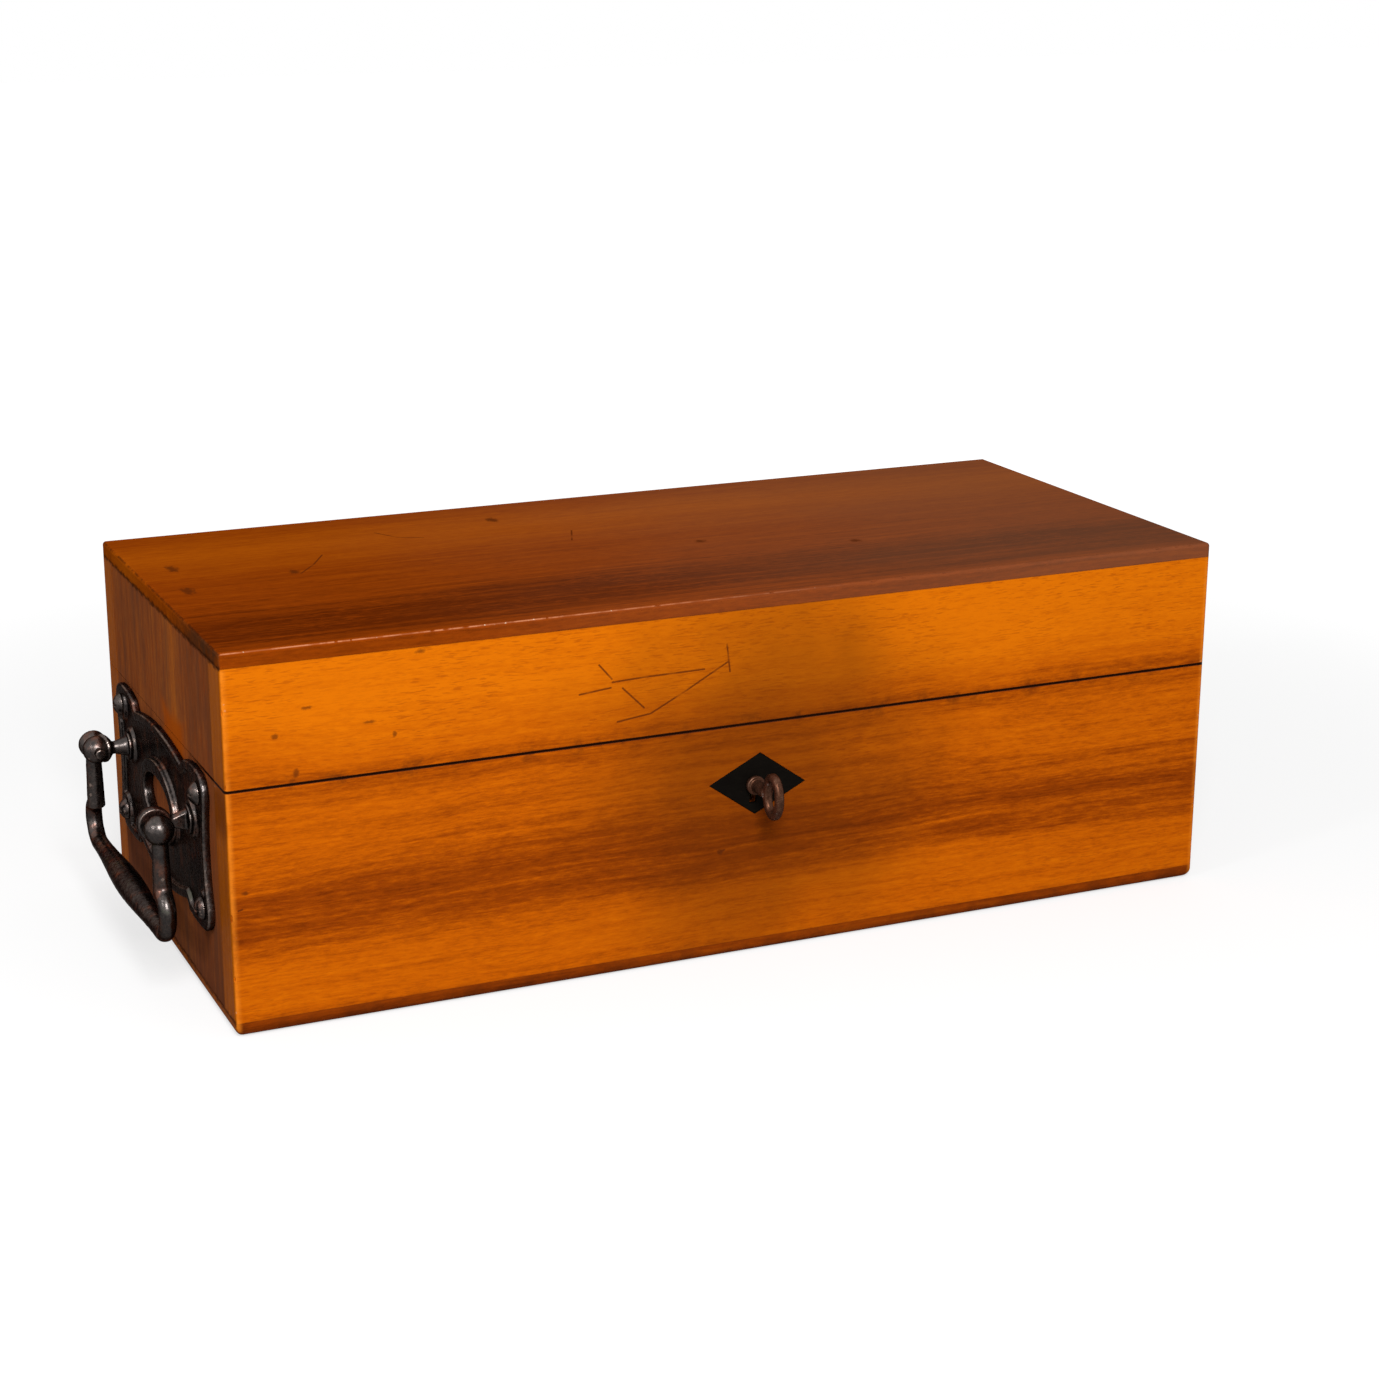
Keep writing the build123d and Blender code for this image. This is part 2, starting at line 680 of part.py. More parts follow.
def bail_half_path():
    """Line of one arm from its knee down to the grip: stepped outward, then round the corner."""
    knee = Vector(bail_arm_x, post_rise - bail_straight)
    turn = 2 * math.atan2(bail_flare, bail_flare_drop)
    bend = bail_flare_drop / (2 * math.sin(turn))
    middle = Vector(bail_arm_x + bail_flare / 2, knee.Y - bail_flare_drop / 2)
    foot = Vector(bail_arm_x + bail_flare, knee.Y - bail_flare_drop)
    half_bow = bend * (1 - math.cos(turn / 2))
    half_run = bend * math.sin(turn / 2)
    first = ThreePointArc(knee, (bail_arm_x + half_bow, knee.Y - half_run), middle)
    second = ThreePointArc(middle, (foot.X - half_bow, foot.Y + half_run), foot)
    grip_end = Vector(foot.X - bail_corner, foot.Y - bail_corner)
    shoulder = bail_corner * (1 - math.sqrt(0.5))
    corner = ThreePointArc(foot, (foot.X - shoulder, foot.Y - bail_corner + shoulder), grip_end)
    return first + second + corner, grip_end


def handle_bail():
    """Swan-neck bail: two arms with knuckles and inward pins, and a grip that swells in the middle."""
    path, grip_end = bail_half_path()
    knee = (bail_arm_x, post_rise - bail_straight, 0)
    arm = sweep(Plane(knee, z_dir=(0, -1, 0)) * Circle(bail_radius), path)
    shank = Pos(0, 0, shank_drop / 2) * Cone(shank_foot_radius, shank_top_radius, shank_drop)
    shank = fillet(shank.edges().sort_by(Axis.Z)[0], shank_rounding)
    arm += Location(Plane((bail_arm_x, post_rise - shank_drop, 0), z_dir=(0, 1, 0))) * shank
    flat = bail_arm_x - bail_radius - arm_setback
    knuckle_x = flat + knuckle_share * bail_knuckle_radius
    size = 2 * bail_knuckle_radius
    arm += Pos(knuckle_x, post_rise, 0) * Sphere(bail_knuckle_radius) - block(
        (flat - size, post_rise - size, -size), (flat, post_rise + size, size)
    )
    pin_start = post_spacing / 2 - post_head_radius - bail_pin_end
    arm += rod(bail_pin_radius, (pin_start, post_rise, 0), flat - pin_start + bail_radius, "x")
    swell = Plane.XY * make_face(
        [
            Line((0, 0), (grip_end.X, 0)),
            Line((grip_end.X, 0), (grip_end.X, bail_radius)),
            Spline(
                (grip_end.X, bail_radius),
                (grip_end.X / 2, (grip_radius + bail_radius) / 2),
                (0, grip_radius),
                tangents=((-1, 0), (-1, 0)),
            ),
            Line((0, grip_radius), (0, 0)),
        ]
    )
    half_grip = Pos(0, grip_end.Y, 0) * revolve(swell, Axis.X)
    half = arm + half_grip
    whole = half + mirror(half, Plane.YZ)
    return on_left_end(Pos(0, 0, post_reach) * whole)


def tube_cradle():
    """Cross board with a round notch that the microscope's tube lies in."""
    board = block(
        (cradle_x - cradle_thickness / 2, inside_front, bottom_thickness),
        (cradle_x + cradle_thickness / 2, inside_back, tube_axis_height + cradle_rise),
    )
    start = (cradle_x - cradle_thickness / 2, 0, tube_axis_height)
    notch = tube_radius + baize + soft_gap
    board -= rod(notch, start, cradle_thickness, "x")
    board -= block(
        (cradle_x - cradle_thickness / 2, -notch, tube_axis_height),
        (cradle_x + cradle_thickness / 2, notch, tube_axis_height + cradle_rise),
    )
    return board


def tube_cradle_baize():
    """Strip of baize glued round the notch."""
    start = (cradle_x - cradle_thickness / 2, 0, tube_axis_height)
    ring = rod(tube_radius + baize, start, cradle_thickness, "x")
    ring -= rod(tube_radius, start, cradle_thickness, "x")
    size = tube_radius + 2 * baize
    return ring & block(
        (start[0], -size, tube_axis_height - size), (start[0] + cradle_thickness, size, tube_axis_height)
    )


def foot_block():
    """Block with a round-bottomed slot for the microscope's foot."""
    low_x = foot_block_x - foot_block_thickness / 2
    block_body = block(
        (low_x, -foot_block_width / 2, bottom_thickness),
        (low_x + foot_block_thickness, foot_block_width / 2, bottom_thickness + foot_block_height),
    )
    slot = foot_thickness + 2 * foot_play
    start = (foot_block_x - slot / 2, 0, tube_axis_height)
    return block_body - rod(foot_radius + foot_play, start, slot, "x")


def lid_hold_down():
    """Block under the lid that keeps the tube in its notch."""
    low_z = tube_axis_height + tube_radius + baize + 2 * soft_gap
    return block(
        (cradle_x - cradle_thickness / 2, -hold_down_width / 2, low_z),
        (cradle_x + cradle_thickness / 2, hold_down_width / 2, case_height - top_thickness),
    )


def lid_hold_down_baize():
    """Baize under that block."""
    high_z = tube_axis_height + tube_radius + baize + soft_gap
    return block(
        (cradle_x - cradle_thickness / 2, -hold_down_width / 2, high_z - baize),
        (cradle_x + cradle_thickness / 2, hold_down_width / 2, high_z),
    )


def accessory_rack():
    """Bar along the back with round pockets for eyepiece and lenses."""
    bar = block(
        (rack_x - rack_length / 2, inside_back - rack_depth, bottom_thickness),
        (rack_x + rack_length / 2, inside_back, bottom_thickness + rack_height),
    )
    pitch = rack_length / len(rack_hole_radii)
    for k, radius in enumerate(rack_hole_radii):
        x = rack_x - rack_length / 2 + (k + 0.5) * pitch
        start = (x, inside_back - rack_depth / 2, bottom_thickness + rack_floor)
        bar -= rod(radius, start, rack_height, "z")
    return bar


lid_top = case_height - top_thickness
pieces = {
    "bottom_board": flat_board(0, bottom_thickness, 0, bottom_rounding),
    "front_board": front_board(),
    "back_board": back_board(),
    "left_end_board": left_end_board(),
    "right_end_board": end_board(1, bottom_thickness, seam_height),
    "lid_top_board": flat_board(lid_top, case_height, case_height, top_rounding),
    "lid_front_board": lid_front_board(),
    "lid_back_board": lid_back_board(),
    "lid_left_end_board": end_board(-1, lid_seam, lid_top),
    "lid_right_end_board": end_board(1, lid_seam, lid_top),
    "keyhole_plate": keyhole_plate(),
    "lock_plate": lock_plate(),
    "lock_cap": lock_cap(),
    "lock_screws": lock_screws(),
    "lock_pin": lock_pin(),
    "lock_bolt": lock_bolt(),
    "key": key(),
    "link_plate": link_plate(),
    "link_screws": link_screws(),
    "hinge_body_screws": hinge_screws(False),
    "hinge_lid_screws": hinge_screws(True),
    "handle_backplate": handle_backplate(),
    "handle_front_post": handle_post(1),
    "handle_rear_post": handle_post(-1),
    "handle_screws": handle_screws(),
    "handle_bail": handle_bail(),
    "tube_cradle": tube_cradle(),
    "tube_cradle_baize": tube_cradle_baize(),
    "foot_block": foot_block(),
    "lid_hold_down": lid_hold_down(),
    "lid_hold_down_baize": lid_hold_down_baize(),
    "accessory_rack": accessory_rack(),
}
for name, middle_x in zip(("left", "right"), hinge_middles):
    pieces[name + "_hinge_body_leaf"] = hinge_leaf(middle_x, False)
    pieces[name + "_hinge_lid_leaf"] = hinge_leaf(middle_x, True)
    pieces[name + "_hinge_pin"] = hinge_pin(middle_x)

os.makedirs("parts", exist_ok=True)
for name, piece in pieces.items():
    export_step(piece, f"parts/{name}.step")
print(len(pieces), "pieces written")
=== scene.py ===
# %% [markdown]
# # A wooden instrument case with a swan-neck handle
# The case is a shallow box of thin polished boards, about a foot long, that was glued up whole and then
# sawn round to part the lid from the body. The imported frame holds every piece at its true size. This
# lesson dresses that frame: it models the boards, the castings and the key again with the marks of
# making and of wear, and works out each finish from the place on the piece rather than from pictures.
# Some of the wood's colour is painted light: a shadow on the front, a reflection on the top, highlights
# on the arrises, and shade and a highlight at the seam.
# Everything is in metres, in the frame's own axes: X along the case, Y to the back, Z up.

# %% Load the frame
import json
import math
import random
from types import SimpleNamespace

import bpy
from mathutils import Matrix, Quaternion, Vector

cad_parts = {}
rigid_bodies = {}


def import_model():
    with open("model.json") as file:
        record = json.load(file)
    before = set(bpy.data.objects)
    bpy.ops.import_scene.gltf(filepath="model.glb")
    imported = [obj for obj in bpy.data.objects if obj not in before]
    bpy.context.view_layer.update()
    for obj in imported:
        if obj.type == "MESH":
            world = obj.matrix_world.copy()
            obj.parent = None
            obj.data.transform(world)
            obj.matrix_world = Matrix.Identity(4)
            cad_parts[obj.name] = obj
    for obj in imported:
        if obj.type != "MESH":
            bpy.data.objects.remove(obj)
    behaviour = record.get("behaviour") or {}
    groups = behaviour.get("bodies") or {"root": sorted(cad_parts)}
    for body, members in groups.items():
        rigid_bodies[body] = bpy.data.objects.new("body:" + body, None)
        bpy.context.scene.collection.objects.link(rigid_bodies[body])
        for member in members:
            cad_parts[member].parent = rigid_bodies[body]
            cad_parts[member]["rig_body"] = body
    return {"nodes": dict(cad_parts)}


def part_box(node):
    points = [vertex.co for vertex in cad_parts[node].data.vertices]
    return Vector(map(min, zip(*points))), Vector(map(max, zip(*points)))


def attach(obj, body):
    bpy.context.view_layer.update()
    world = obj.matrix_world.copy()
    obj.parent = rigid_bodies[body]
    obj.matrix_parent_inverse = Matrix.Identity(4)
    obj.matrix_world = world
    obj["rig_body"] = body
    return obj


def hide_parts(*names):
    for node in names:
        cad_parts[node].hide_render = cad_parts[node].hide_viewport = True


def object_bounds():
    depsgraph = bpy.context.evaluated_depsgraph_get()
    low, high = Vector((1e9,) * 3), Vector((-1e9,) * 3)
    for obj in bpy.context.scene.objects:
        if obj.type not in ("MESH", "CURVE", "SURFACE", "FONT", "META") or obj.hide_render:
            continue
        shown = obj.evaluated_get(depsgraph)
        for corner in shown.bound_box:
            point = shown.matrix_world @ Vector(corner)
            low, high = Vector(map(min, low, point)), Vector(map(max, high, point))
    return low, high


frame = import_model()
cad_low, cad_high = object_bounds()
MM = 0.001
print("nodes", len(frame["nodes"]), "box in mm", [round(v / MM, 1) for v in cad_high - cad_low])

# %% [markdown]
# ## Where the camera stands
# The case was seen from its front left, a little from above. The camera could be set by eye, but the
# corners of a box fix it: the place, the direction and the lens below come from the case's eight corners,
# so the boards, the diamond and the handle all fall where they were seen.

# %% Camera
camera_data = bpy.data.cameras.new("front_left_view")
camera_data.lens = 70.14
camera_data.sensor_width = 36.0
camera_data.clip_start = 0.01
camera = bpy.data.objects.new("front_left_view", camera_data)
camera.location = (-0.35395, -0.81138, 0.33381)
looking = Vector((0.39405, 0.87310, -0.28710))
roll = Quaternion((0.0, 0.0, 1.0), 0.00319)
camera.rotation_euler = (looking.to_track_quat("-Z", "Y") @ roll).to_euler()
bpy.context.scene.collection.objects.link(camera)
bpy.context.scene.camera = camera
bpy.context.scene.view_settings.view_transform = "Standard"
print("camera", [round(v, 3) for v in camera.location])

# %% [markdown]
# ## Sums instead of node boxes
# A finish such as old varnish takes dozens of small steps. Dragging node boxes is slow to read back, so a
# little class stands for one socket: adding, multiplying or comparing two of them adds the node that does
# it. Colours go through Mix, because a Math node would turn them grey, and everything else that a material
# needs goes through one method that takes the node's type, its settings and what its sockets get.

# %% The Shade class
class Shade:
    """One socket of a material: a number, a vector or a colour."""

    def __init__(self, tree, socket):
        self.tree = tree
        self.socket = socket

    def node(self, kind, settings=None, inputs=None, output=0):
        """Adds a node: its settings first, then the values or links of its sockets."""
        made = self.tree.nodes.new(kind)
        for name, value in (settings or {}).items():
            if name == "stops":
                ramp = made.color_ramp
                while len(ramp.elements) < len(value):
                    ramp.elements.new(1.0)
                for stop, (place, colour) in zip(ramp.elements, value):
                    stop.position = place
                    stop.color = (*colour, 1.0)
            else:
                setattr(made, name, value)
        for name, value in (inputs or {}).items():
            if isinstance(value, Shade):
                self.tree.links.new(value.socket, made.inputs[name])
            else:
                made.inputs[name].default_value = value
        return Shade(self.tree, made.outputs[output])

    def sum(self, operation, *values):
        vector = self.socket.type == "VECTOR"
        kind = "ShaderNodeVectorMath" if vector else "ShaderNodeMath"
        if vector:
            values = [v if isinstance(v, (Shade, tuple)) else (v, v, v) for v in values]
        return self.node(kind, {"operation": operation}, dict(enumerate((self, *values))))

    def __add__(self, other):
        return self.sum("ADD", other)

    def __sub__(self, other):
        return self.sum("SUBTRACT", other)

    def __mul__(self, other):
        return self.sum("MULTIPLY", other)

    def __truediv__(self, other):
        return self.sum("DIVIDE", other)

    def __rsub__(self, other):
        return self.node("ShaderNodeMath", {"operation": "SUBTRACT"}, {0: other, 1: self})

    __radd__ = __add__
    __rmul__ = __mul__

    def size(self):
        """The number without its sign."""
        return self.sum("ABSOLUTE")

    def length(self):
        return self.node("ShaderNodeVectorMath", {"operation": "LENGTH"}, {0: self}, "Value")

    def dot(self, other):
        return self.node("ShaderNodeVectorMath", {"operation": "DOT_PRODUCT"},
                         {0: self, 1: other}, "Value")

    def least(self, other):
        return self.sum("MINIMUM", other)

    def most(self, other):
        return self.sum("MAXIMUM", other)

    def clamped(self):
        return self.node("ShaderNodeClamp", {}, {"Value": self})

    def smooth(self, start, end):
        """0 before start, 1 after end, or the other way round when end is the smaller."""
        limits = {"Value": self, "From Min": start, "From Max": end}
        return self.node("ShaderNodeMapRange", {"interpolation_type": "SMOOTHSTEP"}, limits)

    def xyz(self):
        """A vector's three numbers."""
        made = self.tree.nodes.new("ShaderNodeSeparateXYZ")
        self.tree.links.new(self.socket, made.inputs[0])
        return [Shade(self.tree, out) for out in made.outputs]

    def point(self, y, z):
        """A vector from this number and two more."""
        return self.node("ShaderNodeCombineXYZ", {}, {0: self, 1: y, 2: z})

    def ramp(self, stops, interpolation="LINEAR"):
        """A colour from a number; stops are (place, colour) or (place, grey)."""
        full = [(at, c if isinstance(c, tuple) else (c, c, c)) for at, c in stops]
        made = self.node("ShaderNodeValToRGB", {"stops": full}, {"Fac": self})
        made.socket.node.color_ramp.interpolation = interpolation
        return made

    def mix(self, first, second):
        """first where this number is 0, second where it is 1, for colours."""
        colours = [c if isinstance(c, Shade) else (*c, 1.0) for c in (first, second)]
        return self.node("ShaderNodeMix", {"data_type": "RGBA"},
                         {0: self, 6: colours[0], 7: colours[1]}, 2)

    def scaled(self, factor):
        """A colour made paler or darker by one factor."""
        return self.node("ShaderNodeVectorMath", {"operation": "SCALE"}, {0: self, "Scale": factor})

    def noise(self, lengths, detail=2.0, roughness=0.5, warp=0.0, move=0.0):
        """Cloudy values round 0.5; lengths are the cloud's sizes along X, Y and Z."""
        place = self * tuple(1.0 / v for v in lengths) + (move, move * 0.7, move * 1.3)
        values = {"Vector": place, "Scale": 1.0, "Detail": detail, "Roughness": roughness,
                  "Distortion": warp}
        return self.node("ShaderNodeTexNoise", {}, values)

    def cells(self, lengths, move=0.0):
        """The distance to the nearest of scattered points, and that point's own number."""
        place = self * tuple(1.0 / v for v in lengths) + (move, move * 0.7, move * 1.3)
        made = self.node("ShaderNodeTexVoronoi", {}, {"Vector": place, "Scale": 1.0})
        colour = Shade(self.tree, made.socket.node.outputs["Color"])
        return made, colour.node("ShaderNodeSeparateColor", {}, {0: colour})


def new_finish(name):
    """A fresh material, its place in millimetres and its surface shader."""
    material = bpy.data.materials.new(name)
    material.use_nodes = True
    tree = material.node_tree
    coordinates = tree.nodes.new("ShaderNodeTexCoord")
    place = Shade(tree, coordinates.outputs["Object"]) * (1 / MM, 1 / MM, 1 / MM)
    return material, place, tree.nodes["Principled BSDF"]


def set_surface(shader, bump=None, depth=0.02, **values):
    """Feeds the surface shader; bump is a height from 0 to 1 that stands depth millimetres."""
    tree = shader.id_data
    for name, value in values.items():
        socket = shader.inputs[name.replace("_", " ")]
        if isinstance(value, Shade):
            tree.links.new(value.socket, socket)
        else:
            socket.default_value = (*value, 1.0) if isinstance(value, tuple) else value
    if bump is not None:
        raised = bump.node("ShaderNodeBump", {}, {"Height": bump, "Distance": depth * MM})
        tree.links.new(raised.socket, shader.inputs["Normal"])


print("the Shade class is ready")

# %% [markdown]
# ## Light for polished wood
# Polished orange wood looks milky when a big pale room is mirrored in it, and flat when the light has no
# side. So there is one large soft lamp at the front left, above the case, which lights the front most, the
# top a little less and only grazes the handle's end, and a weak small one that puts sparks on the handle.
# The world is white to the camera and to metal, and gives the wood only a third of that as filling light.

# %% Lamps and world
def soft_lamp(name, direction, distance, size, watts):
    """A square lamp that looks at the middle of the case from the given direction."""
    data = bpy.data.lights.new(name, "AREA")
    data.size = size
    data.energy = watts
    lamp = bpy.data.objects.new(name, data)
    middle = (cad_low + cad_high) / 2
    towards = Vector(direction).normalized()
    lamp.location = middle + towards * distance
    lamp.rotation_euler = towards.to_track_quat("Z", "Y").to_euler()
    bpy.context.scene.collection.objects.link(lamp)


soft_lamp("large_soft_lamp", (-0.26, -0.78, 0.62), distance=1.5, size=0.5, watts=19.0)
soft_lamp("small_end_lamp", (-0.90, -0.35, 0.55), distance=1.3, size=0.16, watts=2.0)
FILL = 0.36
world = bpy.data.worlds.new("pale_room")
bpy.context.scene.world = world
world.use_nodes = True
room = world.node_tree
ray = room.nodes.new("ShaderNodeLightPath")
seen, mirrored, through = (Shade(room, ray.outputs[f"Is {kind} Ray"])
                           for kind in ("Camera", "Glossy", "Transmission"))
strength = seen.most(mirrored).most(through) * (1.0 - FILL) + FILL
background = room.nodes["Background"]
background.inputs["Color"].default_value = (1.0, 1.0, 1.0, 1.0)
room.links.new(strength.socket, background.inputs["Strength"])

# %% [markdown]
# ## What the wood is
# The boards are a close, straight-grained wood under old amber varnish. Three things make it look so: a
# broad figure of paler and browner bands that run the length of a board, thin streaks and fibres in them,
# and small dark flecks. Each is a noise stretched along the grain. The bands are not left to chance: a
# ramp across the board's width gives how pale it is, and a slow wobble keeps the bands from being ruled.
# The outside is varnished, the inside is bare and dull, and the cut ends of boards show end grain.

# %% Sizes that the wood finish needs
case_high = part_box("bottom_board")[1]
front_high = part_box("front_board")[1]
top_low, top_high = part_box("lid_top_board")
HALF_LENGTH = case_high.x / MM
HALF_DEPTH = case_high.y / MM
CASE_TOP = top_high.z / MM
BOTTOM_JOINT = case_high.z / MM
TOP_JOINT = top_low.z / MM
SEAM = (front_high.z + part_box("lid_front_board")[0].z) / 2 / MM
INSIDE_X = -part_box("left_end_board")[1].x / MM
INSIDE_Y = -front_high.y / MM
print("case", HALF_LENGTH * 2, HALF_DEPTH * 2, round(CASE_TOP, 2), "seam at", round(SEAM, 2))

# %% [markdown]
# ## Scratches and flecks
# A scratch could be painted on a picture, but a picture blurs close up. Here it is worked out instead: a
# point is on a scratch when it is near enough to the line between two points. Flecks are the short dark
# dashes that such wood is full of; they come from scattered cells, of which only a share holds one.

# %% Marks that every board shares
def along_x(length, width):
    return (length, width, width)


def along_y(length, width):
    return (width, length, width)


def along_z(length, width):
    return (width, width, length)


def stroke(place, first, last, width):
    """1 on a straight scratch between two points, 0 away from it."""
    run = Vector(last) - Vector(first)
    from_start = place - tuple(first)
    share = (from_start.dot(tuple(run)) / run.length_squared).clamped()
    nearest = share.point(share, share) * tuple(run)
    return (from_start - nearest).length().smooth(width, width * 0.3)


def scratched(place, lines, width, broken):
    """All the strokes of a list of broken lines, fading in and out."""
    found = None
    for line in lines:
        for first, last in zip(line, line[1:]):
            mark = stroke(place, first, last, width)
            found = mark if found is None else found.most(mark)
    return found * broken


def flecks(place, lengths, share, large, move):
    """Short dark dashes: share of the cells hold one, up to large of a cell's size."""
    near, own = place.cells(lengths, move)
    reach = own.smooth(1.0 - share, 1.0) * large
    return (near / reach.most(0.001)).smooth(1.0, 0.4) * own.smooth(1.0 - share, 1.0 - share + 0.02)


print("marks ready")

# %% [markdown]
# ## The bands, board by board
# The front was one wide board before the lid was sawn off, so one list from the bottom to the top serves
# both halves: gold in the lid, a brown band across the middle of the body, and gold again below it. The
# top has a dark band along its front. The end boards are redder and darker, with their grain upright.

# %% Tone across each board
# (height or depth in millimetres, tone from 0 for brown to 1 for gold)
FRONT_BANDS = [(0, 0.5), (6.5, 0.63), (14, 0.67), (20, 0.66), (25, 0.42), (30, 0.30), (36, 0.28),
               (42, 0.24), (46, 0.3), (50, 0.42), (55, 0.53), (60, 0.57), (66, 0.62), (71, 0.56),
               (75, 0.38), (80, 0.46), (85, 0.62), (90, 0.8), (96, 0.92), (108, 0.97), (115, 0.92)]
TOP_BANDS = [(0, 0.45), (3, 0.4), (9, 0.1), (20, 0.03), (35, 0.06), (45, 0.32), (56, 0.48), (78, 0.47),
             (90, 0.62), (105, 0.75), (120, 0.95), (132, 0.8), (141, 0.62), (152, 0.55)]
BACK_BANDS = [(0, 0.45), (18, 0.62), (34, 0.5), (47, 0.7), (58, 0.58), (70, 0.44), (84, 0.66), (97, 0.5),
              (110, 0.72), (120, 0.6)]
BOTTOM_BANDS = [(0, 0.42), (30, 0.55), (55, 0.3), (90, 0.5), (120, 0.35), (152, 0.48)]
END_BANDS = [(0, 0.45), (16, 0.4), (26, 0.3), (44, 0.42), (57, 0.66), (66, 0.7), (76, 0.42), (98, 0.5),
             (118, 0.36), (140, 0.46), (152, 0.4)]
WALL_COLOURS = [(0.0, (0.165, 0.024, 0.001)), (0.28, (0.305, 0.051, 0.001)),
                (0.6, (0.550, 0.108, 0.001)), (1.0, (0.715, 0.165, 0.0015))]
TOP_COLOURS = [(0.0, (0.108, 0.016, 0.001)), (0.5, (0.256, 0.042, 0.0015)), (1.0, (0.39, 0.080, 0.002))]
END_COLOURS = [(0.0, (0.125, 0.036, 0.014)), (0.45, (0.245, 0.067, 0.020)), (1.0, (0.48, 0.135, 0.018))]
BARE_COLOURS = [(0.0, (0.20, 0.085, 0.028)), (0.5, (0.36, 0.17, 0.062)), (1.0, (0.50, 0.27, 0.11))]
CUT_COLOURS = [(0.0, (0.13, 0.028, 0.001)), (0.5, (0.28, 0.066, 0.001)), (1.0, (0.44, 0.115, 0.002))]
GRIME = (0.030, 0.008, 0.003)
print("bands on the front", len(FRONT_BANDS), "on the top", len(TOP_BANDS))

# %% [markdown]
# ## Distances that guide dirt, wear and painted light
# Dirt, rubbed edges, the painted highlights on the arrises, the painted shade of the seam and bare wood
# all follow how far a point is from the seam, the joints and the outer edges. They could be masks painted
# board by board, but then a board that changed its size would leave them behind. So the distances are
# worked out from the place, once for each finish, and used by name.

# %% Distances on the case
def distances(place):
    """How far a point is from the case's seam, joints and outer faces, in millimetres."""
    x, y, z = place.xyz()
    facing = place.node("ShaderNodeTexCoord", output="Normal")
    return SimpleNamespace(
        x=x, y=y, z=z,
        end_face=facing.xyz()[0].size().smooth(0.45, 0.9),
        seam=(z - SEAM).size(),
        joint=(z - TOP_JOINT).size().least((z - BOTTOM_JOINT).size()),
        side=HALF_LENGTH - x.size(),
        face=HALF_DEPTH - y.size(),
        front=y + HALF_DEPTH,
        back=HALF_DEPTH - y,
        top=CASE_TOP - z)


print("distances ready")

# %% [markdown]
# ## Figure of the wood
# One number, the tone, carries the whole figure: 0 is brown and 1 is gold. It starts from the board's
# bands and gets streaks, long lines in the brown parts, short dashes and a slow mottle on top. Each could
# be a colour of its own, but one number keeps them in step, and a single ramp turns it into colour.

# %% The tone of a board
def board_figure(place, at, bands, across, upright, seed):
    """The tone of each point, with the bent place and the finer parts that other steps use."""
    grain = along_z if upright else along_x
    wobble = (place.noise(grain(95, 30), detail=2, move=seed + 3.0) - 0.5) * 16
    span = CASE_TOP if across == "height" else 2 * HALF_DEPTH
    width = (at.z if across == "height" else at.front) + wobble
    tone = (width / span).ramp([(edge / span, shade) for edge, shade in bands], "B_SPLINE")
    bent = place + wobble.point(wobble, wobble) * (0.0, 0.4, 0.0 if upright else 0.4)
    figure = bent.noise(grain(150, 7), detail=4, roughness=0.55, warp=0.2, move=seed) - 0.5
    streak = bent.noise(grain(60, 1.4), detail=5, roughness=0.65, move=seed + 11) - 0.5
    line = bent.noise(grain(130, 3.2), detail=5, roughness=0.7, warp=0.3, move=seed + 13) - 0.5
    dash = bent.noise(grain(4.2, 0.8), detail=4, roughness=0.75, move=seed + 17) - 0.5
    mottle = bent.noise(grain(9, 3.6), detail=4, roughness=0.65, move=seed + 23) - 0.5
    brown = (1.0 - tone).clamped()
    tone = tone + figure * 0.30 + streak * 0.55 + line * brown * 1.5 + dash * 0.72 + mottle * 0.32
    return SimpleNamespace(tone=tone, bent=bent, grain=grain, streak=streak, dash=dash, mottle=mottle)


# %% Pores and bruises
def pored(colour, place, figure, pores, seed):
    """Thin dark dashes that crowd in some places, and a few larger flecks that stand alone."""
    crowd = place.noise((38, 24, 24), detail=2, move=seed + 29).smooth(0.36, 0.62)
    bent, grain = figure.bent, figure.grain
    thin = bent.noise(grain(4.4, 0.46), detail=2, roughness=0.5, move=seed + 5).smooth(0.54, 0.66)
    marks = (thin * (crowd * 0.65 + 0.35) * pores).clamped()
    marks = marks.most(flecks(bent, grain(9, 2.2), 0.14, 0.16, seed + 8) * 0.45)
    return marks.mix(colour, (0.31, 0.048, 0.002)), marks


def bruised(colour, place, ragged, spots, depth):
    """Small dents that hold dirt, each with a ragged outline."""
    for centre, lengths in spots:
        apart = ((place - centre) * tuple(1.0 / v for v in lengths)).length() + ragged * 2.6
        colour = (apart.smooth(2.9, 1.7) * depth).mix(colour, (0.085, 0.017, 0.003))
    return colour


print("figure, pores and bruises ready")

# %% [markdown]
# ## Cut ends
# A saw cut across the grain opens the pores, so it drinks varnish and shows rings instead of streaks. The
# boards could get a second material there, but the face's own direction tells where the cut ends are, so
# one finish serves the whole board. The end of the top board is dirty where it was handled.

